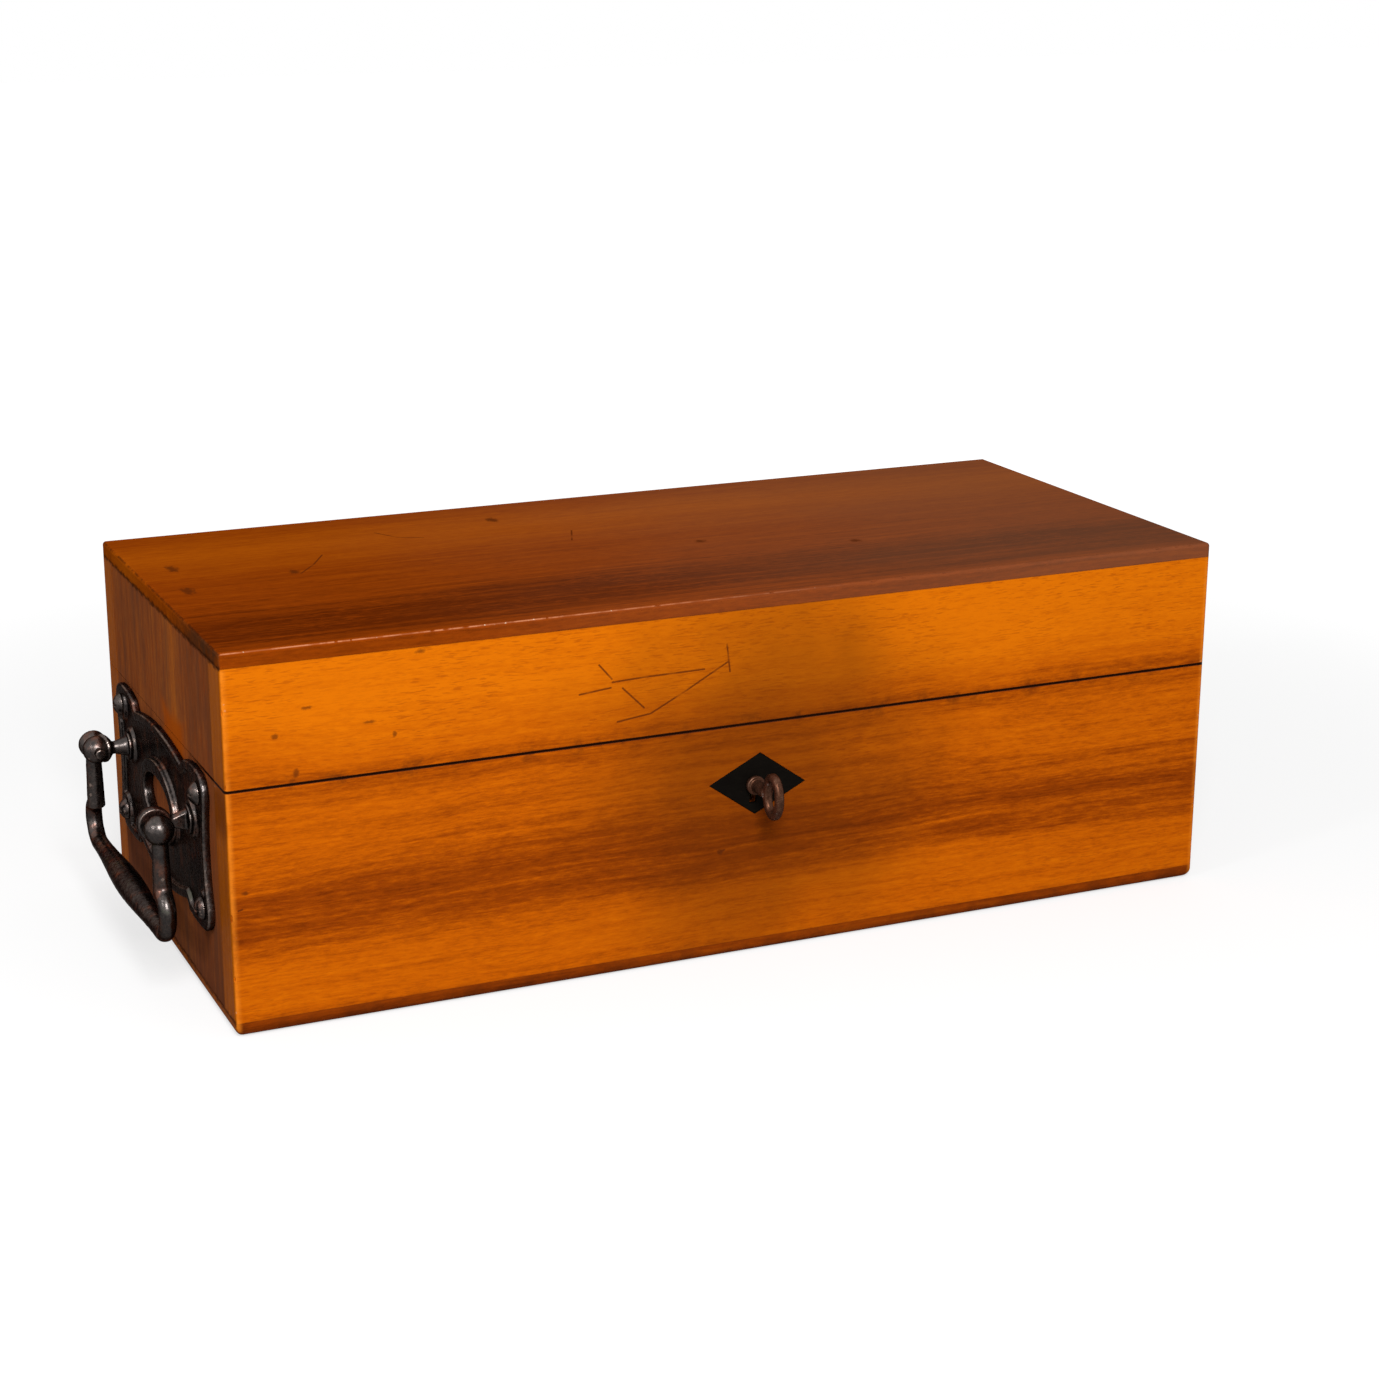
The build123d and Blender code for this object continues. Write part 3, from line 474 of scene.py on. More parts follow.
# %% End grain
def cut_ends(colour, place, at, cloud, seed):
    """End grain on the faces that point along the case."""
    open_pores = place.noise((1, 0.6, 2.2), detail=3, roughness=0.7, move=seed + 31)
    rings = place.noise((1, 1.8, 30), detail=3, warp=0.2, move=seed + 37)
    cut_tone = (open_pores * 0.5 + rings * 0.9 - 0.2).ramp(CUT_COLOURS)
    under_top = at.z.smooth(TOP_JOINT + 0.4, TOP_JOINT - 0.4)
    colour = (at.end_face * (under_top * 0.6 + 0.25)).mix(colour, cut_tone)
    handled = at.front.smooth(62, 16) * at.z.smooth(TOP_JOINT - 0.6, TOP_JOINT) * at.end_face
    handled = handled * (0.30 + cloud.smooth(0.35, 0.6) * 0.45)
    colour = handled.mix(colour, (0.050, 0.024, 0.012))
    under_seam = (SEAM - 8 - at.z).size().smooth(11, 4) * at.front.smooth(16, 12) * at.end_face
    return (under_seam * 0.5).mix(colour, (0.062, 0.009, 0.001))


# %% [markdown]
# ## Dirt, wear, painted light on the arrises and the seam, and bare wood
# Old polish is darkest where a cloth never reaches and palest where it always does. Dirt sits in the
# joints, the seam and along the foot. The arrises are worn through and carry painted highlights: gold on
# the upright ones, pink along the front of the top. The seam's dark line is partly painted shade of the
# gap, with a painted highlight on its lower lip. The inside and the rims that meet when the case is shut
# were never varnished.

# %% Dirt
def dirtied(colour, at, ragged, cloud):
    """Dirt in the joints, in the corners of the ends, along the seam and along the foot."""
    from_wall = (at.y.size() - INSIDE_Y).size()
    in_joint = at.joint.smooth(0.34, 0.1) * 0.25
    in_joint = in_joint.most((at.joint + ragged * 3.6).smooth(3.1, 1.7) * at.end_face * 0.8)
    in_corner = (from_wall + ragged * 2.4).smooth(2.0, 1.1) * cloud.smooth(0.5, 0.6)
    in_corner = in_corner * at.z.smooth(SEAM, CASE_TOP) * 0.7
    in_corner = in_corner.most(from_wall.smooth(0.34, 0.1) * 0.3) * at.end_face
    halo = at.seam.smooth(5.0, 0.4) * cloud.smooth(0.50, 0.70) * 0.45 * (1.0 - at.end_face * 0.7)
    foot = at.z.smooth(9.0, 0.0) * cloud.smooth(0.40, 0.66) * 0.4
    dirt = in_joint.most(in_corner).most(halo).most(foot)
    return dirt.mix(colour, GRIME), dirt


# %% Rubbed arrises with painted highlights
def rubbed_and_highlit(colour, place, at, seed):
    """Upright arrises worn and given a painted gold highlight, the front one of the top a painted pink
    one, its end ones left dark.
    """
    patches = place.noise((6, 6, 6), detail=3, roughness=0.6, move=seed + 47)
    upright = at.side.most(at.face * 3.0).smooth(2.4, 0.5) * at.z.smooth(TOP_JOINT, TOP_JOINT - 1)
    front = at.top.most(at.front).smooth(0.62, 0.40) * at.x.smooth(60, -110)
    ends = at.top.most(at.side.least(at.back)).smooth(0.9, 0.4)
    colour = (ends * patches.smooth(0.36, 0.6) * 0.6).mix(colour, GRIME)
    # upright arrises: worn finish with a painted gold highlight
    colour = (upright * (0.30 + patches.smooth(0.35, 0.6) * 0.3)).mix(colour, (0.86, 0.25, 0.018))
    # front arris of the top: worn finish with a painted pink highlight that fades out towards the right
    colour = (front * (0.25 + patches.smooth(0.40, 0.58) * 0.6)).mix(colour, (0.60, 0.23, 0.11))
    chips = place.noise((1.5, 1.5, 1.5), detail=1, move=seed + 53).smooth(0.73, 0.77)
    return (front.most(upright * 0.2) * chips).mix(colour, (0.80, 0.62, 0.45))


# %% Bare wood, and the seam's painted shade and highlight
def bare_within(colour, at, tone):
    """Bare wood inside and on the rims, and the seam's dark line, dirt and painted shade of the gap, with
    a painted highlight on its lower lip.
    """
    bare = (tone * 0.8 + 0.1).ramp(BARE_COLOURS)
    inside = (at.x.size().smooth(INSIDE_X + 0.2, INSIDE_X + 0.1)
              * at.y.size().smooth(INSIDE_Y + 0.2, INSIDE_Y + 0.1)
              * at.z.smooth(BOTTOM_JOINT - 0.2, BOTTOM_JOINT - 0.1)
              * at.z.smooth(TOP_JOINT + 0.2, TOP_JOINT + 0.1))
    outer = at.side.least(at.face)
    inside = inside.most(at.seam.smooth(0.2, 0.15) * outer.smooth(0.5, 0.8))
    colour = inside.mix(colour, bare)
    on_end = at.side.smooth(0.9, 0.5) * at.front.smooth(20, 50)
    # the seam's dark line: dirt and painted shade of the gap
    seam_dirt_and_shade = at.seam.smooth(0.62, 0.34) * outer.smooth(1.2, 0.7) * (1.0 - on_end * 0.9)
    # a painted purplish highlight on the seam's lower lip
    lip_highlight = (SEAM - at.z).smooth(0.34, 0.42) * seam_dirt_and_shade
    colour = seam_dirt_and_shade.mix(colour, (0.020, 0.005, 0.002))
    return (lip_highlight * 0.4).mix(colour, (0.09, 0.035, 0.025)), inside


print("dirt, wear and bare wood ready")

# %% The wood finish
def wood(name, bands, colours, across="height", upright=False, pores=0.4, gleam=0.015,
         scratches=(), spots=(), spot_depth=0.75, painted_light_and_tone=None, seed=0.0):
    """One board's finish: varnish outside, bare wood inside. across is the way the bands follow."""
    material, place, shader = new_finish(name)
    at = distances(place)
    ragged = place.noise((1.5, 3, 1.5), detail=4, roughness=0.7, move=seed + 43)
    cloud = place.noise((9, 9, 9), detail=4, roughness=0.65, move=seed + 41)
    figure = board_figure(place, at, bands, across, upright, seed)
    colour, marks = pored(figure.tone.ramp(colours), place, figure, pores, seed)
    # a board's large changes: a painted shadow on the front, a painted reflection on the top, tones on the
    # ends
    if painted_light_and_tone:
        colour = painted_light_and_tone(colour, place)
    colour = bruised(colour, place, ragged, spots, spot_depth)
    height = 0.5 + figure.dash * 0.4 + figure.streak * 0.3 - marks * 0.5
    if scratches:
        broken = place.noise((7, 7, 7), detail=2).smooth(0.18, 0.50)
        cuts = scratched(place, scratches, 0.44, broken)
        colour = (cuts * 0.85).mix(colour, (0.11, 0.020, 0.003))
        height = height - cuts
    if not upright:
        colour = cut_ends(colour, place, at, cloud, seed)
    colour, dirt = dirtied(colour, at, ragged, cloud)
    # arrises: wear, dark end arrises and painted highlights
    colour = rubbed_and_highlit(colour, place, at, seed)
    colour, inside = bare_within(colour, at, figure.tone)
    gloss = 0.44 + figure.mottle * 0.3 + dirt * 0.25 + inside * 0.2 + marks * 0.1
    set_surface(shader, bump=height, depth=0.04, Base_Color=colour, Roughness=gloss,
                Specular_IOR_Level=gleam)
    return material


print("the wood finish is ready")

# %% [markdown]
# ## Where this case was scratched and bruised
# The marks on the top and the front tell one case from another, so they are placed one by one. Each
# scratch is a short list of points that it runs through, measured from the case's left end and from its
# front or its underside.

# %% Places of the marks
def front_point(x, z):
    """A point on the front, x from its left end."""
    return (x - HALF_LENGTH, -HALF_DEPTH, z)


def top_point(x, y):
    """A point on the top, x from its left end and y from its front."""
    return (x - HALF_LENGTH, y - HALF_DEPTH, CASE_TOP)


FRONT_SCRATCHES = [[front_point(*at) for at in line] for line in (
    ((124.8, 84.5), (136.0, 85.8), (148.3, 91.9), (162.8, 99.7)),
    ((123.2, 97.5), (134, 97.9), (154.4, 98.1)),
    ((112.2, 94.8), (122.6, 95.8)),
    ((162.2, 105.3), (163.3, 96.3)),
    ((126.6, 95.2), (133.8, 88.0)),
    ((118.8, 103.5), (123.0, 98.6)),
    ((2.4, 40.9), (3.6, 41.2)),
    ((160.6, 36.5), (161.8, 36.8)))]
TOP_SCRATCHES = [[top_point(*at) for at in line] for line in (
    ((48.9, 82.2), (56.0, 92.0), (62.3, 103.4)),
    ((146, 90), (151.2, 103.4)),
    ((88, 126.9), (93, 117.5), (101, 113.5)))]

# a bruise is a place and its half sizes along X, Y and Z
TOP_SPOTS = [(top_point(*at), lengths) for at, lengths in (
    ((131.6, 129.0), (1.6, 3.2, 2)), ((185.3, 71.4), (1.8, 1.6, 2)), ((234, 50.9), (1.8, 1.6, 2)),
    ((10.0, 74.5), (1.8, 4.2, 2)), ((12.2, 104.4), (1.6, 4.2, 2)), ((47.5, 85), (1.6, 2.6, 2)))]
FRONT_SPOTS = [(front_point(*at), lengths) for at, lengths in (
    ((25.5, 101.3), (1.5, 2, 0.5)), ((15.8, 93.6), (0.9, 2, 0.7)), ((52.6, 89.8), (0.6, 2, 0.9)),
    ((21.7, 81.6), (0.7, 2, 1.1)), ((61.1, 114.6), (1.2, 2, 0.6)), ((44.6, 94.5), (1.8, 2, 0.4)),
    ((4.5, 46), (0.9, 2, 0.7)), ((160.2, 36.3), (0.9, 2, 1.0)))]

print("scratches", len(FRONT_SCRATCHES) + len(TOP_SCRATCHES),
      "bruises", len(FRONT_SPOTS) + len(TOP_SPOTS))

# %% [markdown]
# ## Large soft changes on each face, some of them painted light
# The middle of the front is browned by a painted shadow, the top has a painted pale reflection towards
# one end, and the end is paler over the handle and darker low down and to the back. These large soft
# changes differ from board to board, so each is a small function that is handed to the finish, which lays
# it over the figure and under the dirt.

# %% Large changes of the faces: a painted shadow, a painted reflection and the end's tones
def painted_shadow_front(colour, place):
    """A painted shadow that browns the middle of the front round the lock."""
    away = ((place - (6, -HALF_DEPTH, 62)) * (1 / 90, 0, 1 / 92)).length()
    cloud = place.noise((30, 30, 30), detail=3, move=70) - 0.5
    # painted shadow: a soft brown patch over the middle of the front
    return ((away + cloud * 0.5).smooth(1.0, 0.15) * 0.62).mix(colour, (0.10, 0.020, 0.002))


def painted_reflection_top(colour, place):
    """A painted pale, greyish reflection on the top that grows towards the right."""
    reflection_spread = place.xyz()[0] + (place.noise((60, 25, 25), detail=2, move=75) - 0.5) * 60
    # painted reflection: greyish and pale towards the right end of the top
    return (reflection_spread.smooth(-HALF_LENGTH + 40, HALF_LENGTH - 15) * 0.42).mix(colour, (0.17, 0.09, 0.052))


def toned_end(colour, place):
    """Paler over the handle, darker low down and to the back."""
    x, y, z = place.xyz()
    cloud = place.noise((14, 14, 22), detail=4, roughness=0.6, move=80) - 0.5
    grey = place.noise((12, 12, 60), detail=4, roughness=0.6, move=84).smooth(0.48, 0.66)
    colour = (grey * 0.45).mix(colour, (0.11, 0.045, 0.026))
    from_patch = ((y + HALF_DEPTH - 61) / 15).size().most(((z - SEAM) / 8).size())
    # paler over the handle
    paler_patch = from_patch + cloud * 1.4
    paler_patch = paler_patch.smooth(1.3, 0.5) * x.smooth(10, -10)
    colour = (paler_patch * 0.8).mix(colour, (0.40, 0.070, 0.002))
    passage = (y + INSIDE_Y + cloud * 10).smooth(5, 0) * 0.5
    colour = passage.mix(colour, (0.20, 0.056, 0.014))
    # darker low down and to the back
    low = (SEAM - z + y * 0.35 + cloud * 50).smooth(10, 80)
    return (low * 0.6).mix(colour, (0.072, 0.030, 0.022))


front_wood = wood("front_wood", FRONT_BANDS, WALL_COLOURS, pores=0.42, scratches=FRONT_SCRATCHES,
                  spots=FRONT_SPOTS, spot_depth=0.65, painted_light_and_tone=painted_shadow_front)
top_wood = wood("top_wood", TOP_BANDS, TOP_COLOURS, across="depth", pores=0.5, gleam=0.0,
                scratches=TOP_SCRATCHES, spots=TOP_SPOTS, painted_light_and_tone=painted_reflection_top, seed=60)
back_wood = wood("back_wood", BACK_BANDS, WALL_COLOURS, seed=120)
bottom_wood = wood("bottom_wood", BOTTOM_BANDS, TOP_COLOURS, across="depth", pores=0.3, gleam=0.02,
                   seed=180)
end_wood = wood("end_wood", END_BANDS, END_COLOURS, across="depth", upright=True, pores=0.5, gleam=0.0,
                painted_light_and_tone=toned_end, seed=240)
print("wood finishes", [m.name for m in bpy.data.materials if m.name.endswith("_wood")])

# %% [markdown]
# ## Boards with rubbed arrises
# A polished box is never sharp: its corners were eased with glasspaper and then knocked for a century. A
# board could be a plain block with a bevel, but then every corner is ruled and the real recesses for the
# lock, the hinges and the screws are missing. So each board starts from the frame's own board with its
# loose triangles joined into whole faces. The edges at the saw cut and at the joints, which are still
# sharp, get a small bevel, and a handful of little nicks is cut out of the outer arrises.

# %% Helpers for modelling
def alone(piece):
    """Makes piece the only selected object, and the active one."""
    bpy.ops.object.select_all(action="DESELECT")
    piece.hide_set(False)
    piece.select_set(True)
    bpy.context.view_layer.objects.active = piece


def leave_edit():
    bpy.ops.object.mode_set(mode="OBJECT")


def modify(piece, kind, **settings):
    """Adds a modifier and applies it."""
    alone(piece)
    modifier = piece.modifiers.new(kind.lower(), kind)
    for name, value in settings.items():
        setattr(modifier, name, value)
    bpy.ops.object.modifier_apply(modifier=modifier.name)


def merged_copy(node, name):
    """A copy of a node's mesh with its loose triangles joined, as a start for modelling."""
    piece = bpy.data.objects.new(name, frame["nodes"][node].data.copy())
    bpy.context.scene.collection.objects.link(piece)
    piece.data.materials.clear()
    alone(piece)
    bpy.ops.mesh.customdata_custom_splitnormals_clear()
    bpy.ops.object.mode_set(mode="EDIT")
    bpy.ops.mesh.select_all(action="SELECT")
    bpy.ops.mesh.remove_doubles(threshold=0.002 * MM)
    leave_edit()
    return piece


def place_piece(piece, node, material):
    """Gives a piece its finish and lets it stand for its node, on that node's body."""
    piece.data.materials.clear()
    piece.data.materials.append(material)
    body = frame["nodes"][node]["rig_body"]
    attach(piece, body)
    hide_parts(node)
    print(piece.name, "on", body, len(piece.data.polygons), "faces")


print("helpers ready")

# %% [markdown]
# ## How far each edge is eased
# Every sharp edge catches some light once it is eased. The edges at the saw cut are worn widest, the
# joints hardly at all. One bevel of a single width would open the joints, so each edge gets a bevel weight
# from its place, and one modifier does them all. Edges inside a board's outline, such as those of the
# lock's mortise, stay crisp.

# %% Easing of the sharp edges
# widths in millimetres, at the saw cut and at the joints
CUT_FRONT, CUT_END, CUT_INSIDE, AT_JOINT = 0.22, 0.1, 0.3, 0.14


def near(value, goal):
    return abs(value - goal) < 0.1


def easing(first, last, low, high):
    """The bevel of a sharp edge in millimetres, by its place; 0 for an edge inside the board's outline."""
    flat = 0
    for axis in range(3):
        level = abs(first[axis] - last[axis]) < 1e-6
        flat += level and min(abs(first[axis] - low[axis]), abs(first[axis] - high[axis])) < 1e-6
    if flat < 2:
        return 0.0
    middle = (first + last) / 2 / MM
    outside = near(abs(middle.x), HALF_LENGTH) or near(abs(middle.y), HALF_DEPTH)
    if abs(middle.z - SEAM) < 0.3:
        return CUT_FRONT if near(abs(middle.y), HALF_DEPTH) else CUT_END if outside else CUT_INSIDE
    return AT_JOINT


def whole_faces(piece):
    """Joins the triangles of each flat face, then leaves only the sharp edges selected."""
    alone(piece)
    bpy.ops.object.mode_set(mode="EDIT")
    bpy.ops.mesh.select_mode(type="EDGE")
    bpy.ops.mesh.select_all(action="SELECT")
    bpy.ops.mesh.dissolve_limited(angle_limit=math.radians(0.5))
    bpy.ops.mesh.select_all(action="DESELECT")
    bpy.ops.mesh.edges_select_sharp(sharpness=math.radians(50))
    leave_edit()


def ease_edges(piece, width, size_of, segments=3):
    """Bevels the selected edges, each as wide as size_of says, up to width."""
    mesh = piece.data
    weights = mesh.attributes.new("bevel_weight_edge", "FLOAT", "EDGE")
    for edge in mesh.edges:
        if edge.select:
            first, last = (mesh.vertices[i].co for i in edge.vertices)
            weights.data[edge.index].value = size_of(first, last) / width
    modify(piece, "BEVEL", width=width * MM, segments=segments, limit_method="WEIGHT")


print("easing ready")

# %% [markdown]
# ## Nicks
# Knocks leave small hollows along the outer arrises. A bump in the material could draw them, but their
# outline would stay straight. Small lumps set along the arris and cut away by a boolean really take the
# edge off, and a seeded random generator puts them in the same places on each run.

# %% Nicks on the outer arrises
knocks = random.Random(11)


def arris_lines(node):
    """The outer arrises of the case that belong to one board, as pairs of points in millimetres."""
    low, high = (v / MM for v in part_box(node))
    lines = []
    for z in (low.z, high.z):
        if near(z, 0) or near(z, CASE_TOP):
            lines += [((-HALF_LENGTH, y, z), (HALF_LENGTH, y, z)) for y in (-HALF_DEPTH, HALF_DEPTH)]
            lines += [((x, -HALF_DEPTH, z), (x, HALF_DEPTH, z)) for x in (-HALF_LENGTH, HALF_LENGTH)]
    for y in (low.y, high.y):
        if near(abs(y), HALF_DEPTH) and not lines:
            lines += [((x, y, low.z), (x, y, high.z)) for x in (-HALF_LENGTH, HALF_LENGTH)]
    return lines


def nicks(node):
    """Small lumps that straddle the outer arrises, to be cut out of a board."""
    lumps = []
    for first, last in arris_lines(node):
        first, last = Vector(first), Vector(last)
        run = last - first
        inward = Vector((-first.x - last.x, -first.y - last.y, 0))
        inward = Vector([math.copysign(1, c) if abs(c) > 1 else 0 for c in inward])
        if near(first.z, last.z):
            inward.z = 1 if near(first.z, 0) else -1
        softened = 0.98 if near(first.z, 0) and near(last.z, 0) else 0.36
        for _ in range(max(2, int(run.length / 22))):
            share = knocks.uniform(0.02, 0.98)
            long, thick = knocks.uniform(0.4, 1.5), knocks.uniform(0.25, 0.5)
            centre = first + run * share + inward * (softened + 0.16 - thick * 0.62)
            bpy.ops.mesh.primitive_ico_sphere_add(subdivisions=2, radius=MM, location=centre * MM)
            lump = bpy.context.object
            lump.rotation_euler = run.to_track_quat("X", "Z").to_euler()
            lump.scale = (long, thick, thick)
            lumps.append(lump)
    if not lumps:
        return None
    bpy.ops.object.select_all(action="DESELECT")
    for lump in lumps:
        lump.select_set(True)
    bpy.context.view_layer.objects.active = lumps[0]
    bpy.ops.object.join()
    bpy.ops.object.transform_apply(location=True, rotation=True, scale=True)
    return bpy.context.object


def smooth_faces(piece):
    alone(piece)
    bpy.ops.object.shade_smooth_by_angle(angle=math.radians(35))
    modify(piece, "WEIGHTED_NORMAL", keep_sharp=True, weight=80)


print("nicks ready")

# %% All ten boards
def worn_board(node, material):
    low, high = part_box(node)
    board = merged_copy(node, "worn_" + node)
    whole_faces(board)
    ease_edges(board, CUT_INSIDE, lambda first, last: easing(first, last, low, high))
    cutter = nicks(node)
    if cutter:
        modify(board, "BOOLEAN", object=cutter, operation="DIFFERENCE", solver="EXACT", use_self=True)
        bpy.data.objects.remove(cutter)
    smooth_faces(board)
    place_piece(board, node, material)


WOODS = {"front_board": front_wood, "lid_front_board": front_wood, "lid_top_board": top_wood,
         "back_board": back_wood, "lid_back_board": back_wood, "bottom_board": bottom_wood,
         "left_end_board": end_wood, "lid_left_end_board": end_wood,
         "right_end_board": end_wood, "lid_right_end_board": end_wood}
for node, material in WOODS.items():
    worn_board(node, material)
print("boards", len(WOODS))

# %% [markdown]
# ## The cast handle
# The handle is a set of rough sand castings, bronzed dark and rubbed bright where hands and pockets met
# it. Turned solids look machined, so each casting starts from the frame's form and is remeshed into small
# even facets, which melts its sharp joints into little fillets as molten metal would. Then the skin is
# smoothed and pushed about by a fine cloud, so that highlights break up as they do on a real casting.

# %% Castings
sand = bpy.data.textures.new("sand_skin", "CLOUDS")
sand.noise_scale = 0.0022
sand.noise_depth = 3


def cast(piece, grain, rounds, skin):
    """Remeshes a form into facets of size grain, smooths it and pushes its skin about, in millimetres."""
    modify(piece, "REMESH", mode="VOXEL", voxel_size=grain * MM, use_smooth_shade=True)
    modify(piece, "SMOOTH", factor=0.5, iterations=rounds)
    modify(piece, "DISPLACE", texture=sand, texture_coords="LOCAL", mid_level=0.5, strength=skin * MM)
    return piece


print("casting ready")

# %% [markdown]
# ## Dark bronze
# The castings are brass under a dark brown bronzing that has worn thin in clouds. Lacquer over brown paint
# would look grey all over, as it mirrors the pale room, so the metal itself is dark here and its tint at
# grazing angles is held down. Coppery patches show through, and edges are rubbed to a pinkish shine.

# %% Bronze
def bronze(name, paler=1.0, seed=0.0):
    """Nearly black skin with coppery patches, worn to a pinkish shine on edges."""
    material, place, shader = new_finish(name)
    edge = place.node("ShaderNodeNewGeometry", output="Pointiness")
    cloud = place.noise((10, 10, 10), detail=3, roughness=0.6, move=seed) - 0.5
    patch = place.noise((6, 6, 9), detail=4, roughness=0.65, move=seed + 7) - 0.5
    fine = place.noise((0.9, 0.9, 0.9), detail=3, roughness=0.7, move=seed + 13) - 0.5
    worn = edge.smooth(0.508, 0.585) * (cloud * 4.0 + fine * 0.8 + 0.35).clamped()
    dark = (fine * 0.9 + cloud * 0.8 + 0.5).ramp(
        [(0.0, (0.016, 0.014, 0.015)), (0.5, (0.036, 0.031, 0.029)), (1.0, (0.080, 0.063, 0.056))])
    coppery = (patch.smooth(0.0, 0.22) * 0.6).mix(dark, (0.12, 0.046, 0.028))
    greenish = (patch.smooth(-0.12, -0.22) * 0.4).mix(coppery, (0.040, 0.046, 0.030))
    skin = greenish.scaled(paler)
    colour = (worn * 0.85).mix(skin, (0.46, 0.34, 0.28))
    rough = 0.27 + fine * 0.30 + patch * 0.15
    set_surface(shader, bump=fine + cloud * 0.5 + 0.5, depth=0.07, Base_Color=colour, Roughness=rough,
                Metallic=1.0, Specular_Tint=(0.30, 0.27, 0.26))
    return material


handle_bronze = bronze("handle_bronze", paler=2.2)
bail_bronze = bronze("bail_bronze", paler=2.1, seed=31)
print("bronze ready")

# %% [markdown]
# ## The handle's five pieces
# The plate, the bail, the two posts and the screws are each their own casting. The two ends of the bail
# and their posts were filed by hand and don't match: the rear ball is the smaller, so the points round it
# are drawn in before the remesh.

# %% Handle pieces
# from the post's tip to its ball's middle, from the bail's side to its knuckle's, and what is drawn in
BALL_REACH = 4.95 * MM
KNUCKLE_REACH = 3.9 * MM
DRAWN_REACH = 5.6 * MM
plate = cast(merged_copy("handle_backplate", "cast_backplate"), grain=0.42, rounds=2, skin=0.10)
place_piece(plate, "handle_backplate", handle_bronze)


def draw_in(piece, centre, reach, factor):
    """Draws in the part of a piece that lies within reach of a point."""
    alone(piece)
    bpy.ops.object.mode_set(mode="EDIT")
    bpy.ops.mesh.select_mode(type="VERT")
    bpy.ops.mesh.select_all(action="DESELECT")
    leave_edit()
    for vertex in piece.data.vertices:
        vertex.select = (vertex.co - centre).length < reach
    bpy.ops.object.mode_set(mode="EDIT")
    bpy.ops.transform.resize(value=(factor, factor, factor), center_override=centre)
    leave_edit()


post_low, post_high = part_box("handle_rear_post")
rear_ball = (post_low + post_high) / 2
rear_ball.x = post_low.x + BALL_REACH
rear_knuckle = rear_ball.copy()
rear_knuckle.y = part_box("handle_bail")[1].y - KNUCKLE_REACH
print("rear ball", [round(v / MM, 1) for v in rear_ball], "knuckle at", round(rear_knuckle.y / MM, 1))
bail = merged_copy("handle_bail", "cast_bail")
draw_in(bail, rear_knuckle, DRAWN_REACH, 0.88)
cast(bail, grain=0.34, rounds=3, skin=0.16)
place_piece(bail, "handle_bail", bail_bronze)
for side in ("front", "rear"):
    post = merged_copy(f"handle_{side}_post", f"cast_{side}_post")
    if side == "rear":
        draw_in(post, rear_ball, DRAWN_REACH, 0.86)
    cast(post, grain=0.28, rounds=3, skin=0.10)
    place_piece(post, f"handle_{side}_post", bail_bronze)
screws = cast(merged_copy("handle_screws", "worn_handle_screws"), grain=0.22, rounds=2, skin=0.05)
place_piece(screws, "handle_screws", handle_bronze)

# %% [markdown]
# ## Key and black diamond
# The key is a small forged one, browned by rust and by fingers. Like the castings it is remeshed, smoothed
# a little and given a skin. The diamond is a thin slip of black wood let in flush. It is flat on the real
# case too, so all it needs is softened edges and a dull black finish with pores in it.

# %% Finishes for the key and the diamond
def rusty_iron(name):
    material, place, shader = new_finish(name)
    edge = place.node("ShaderNodeNewGeometry", output="Pointiness")
    cloud = place.noise((2.6, 2.6, 2.6), detail=4, roughness=0.65) - 0.5
    fine = place.noise((0.45, 0.45, 0.45), detail=3, roughness=0.7, move=5) - 0.5
    rust = (cloud * 1.2 + fine * 0.8 + 0.5).ramp(
        [(0.0, (0.025, 0.011, 0.007)), (0.5, (0.085, 0.036, 0.021)), (1.0, (0.18, 0.095, 0.062))])
    bright = edge.smooth(0.52, 0.62) * (cloud * 3 + 0.5).clamped()
    colour = bright.mix(rust, (0.42, 0.34, 0.30))
    set_surface(shader, bump=fine + 0.5, depth=0.07, Base_Color=colour, Roughness=0.27 + fine * 0.4,
                Metallic=0.6 + bright * 0.4, Specular_Tint=(0.0, 0.0, 0.0))
    return material


def black_wood(name):
    material, place, shader = new_finish(name)
    pores = place.noise((2.5, 2.5, 0.25), detail=2, roughness=0.6)
    wear = place.noise((4, 4, 4), detail=4, roughness=0.7, move=9)
    tone = (pores * 0.6 + wear * 0.6 - 0.1).ramp(
        [(0.0, (0.002, 0.001, 0.001)), (0.6, (0.005, 0.004, 0.003)), (1.0, (0.016, 0.012, 0.008))])
    set_surface(shader, bump=pores, depth=0.03, Base_Color=tone, Roughness=0.55 + wear * 0.2,
                Specular_IOR_Level=0.02)
    return material


print("iron and black wood ready")

# %% The two pieces of the lock that show
key = cast(merged_copy("key", "forged_key"), grain=0.20, rounds=3, skin=0.10)
place_piece(key, "key", rusty_iron("rusty_iron"))
diamond = merged_copy("keyhole_plate", "black_diamond")
whole_faces(diamond)
ease_edges(diamond, 0.15, lambda first, last: 0.15, segments=2)
smooth_faces(diamond)
place_piece(diamond, "keyhole_plate", black_wood("black_wood"))

# %% [markdown]
# ## Brass that was left to go dull
# The hinges, the lock and their screws are brass that nobody polishes. The frame's own shapes are right
# for them, so they stay and only get a finish: brass that is brown in clouds, with small dark specks and
# fine lines from the file that dressed it. The pin of the lock is iron.

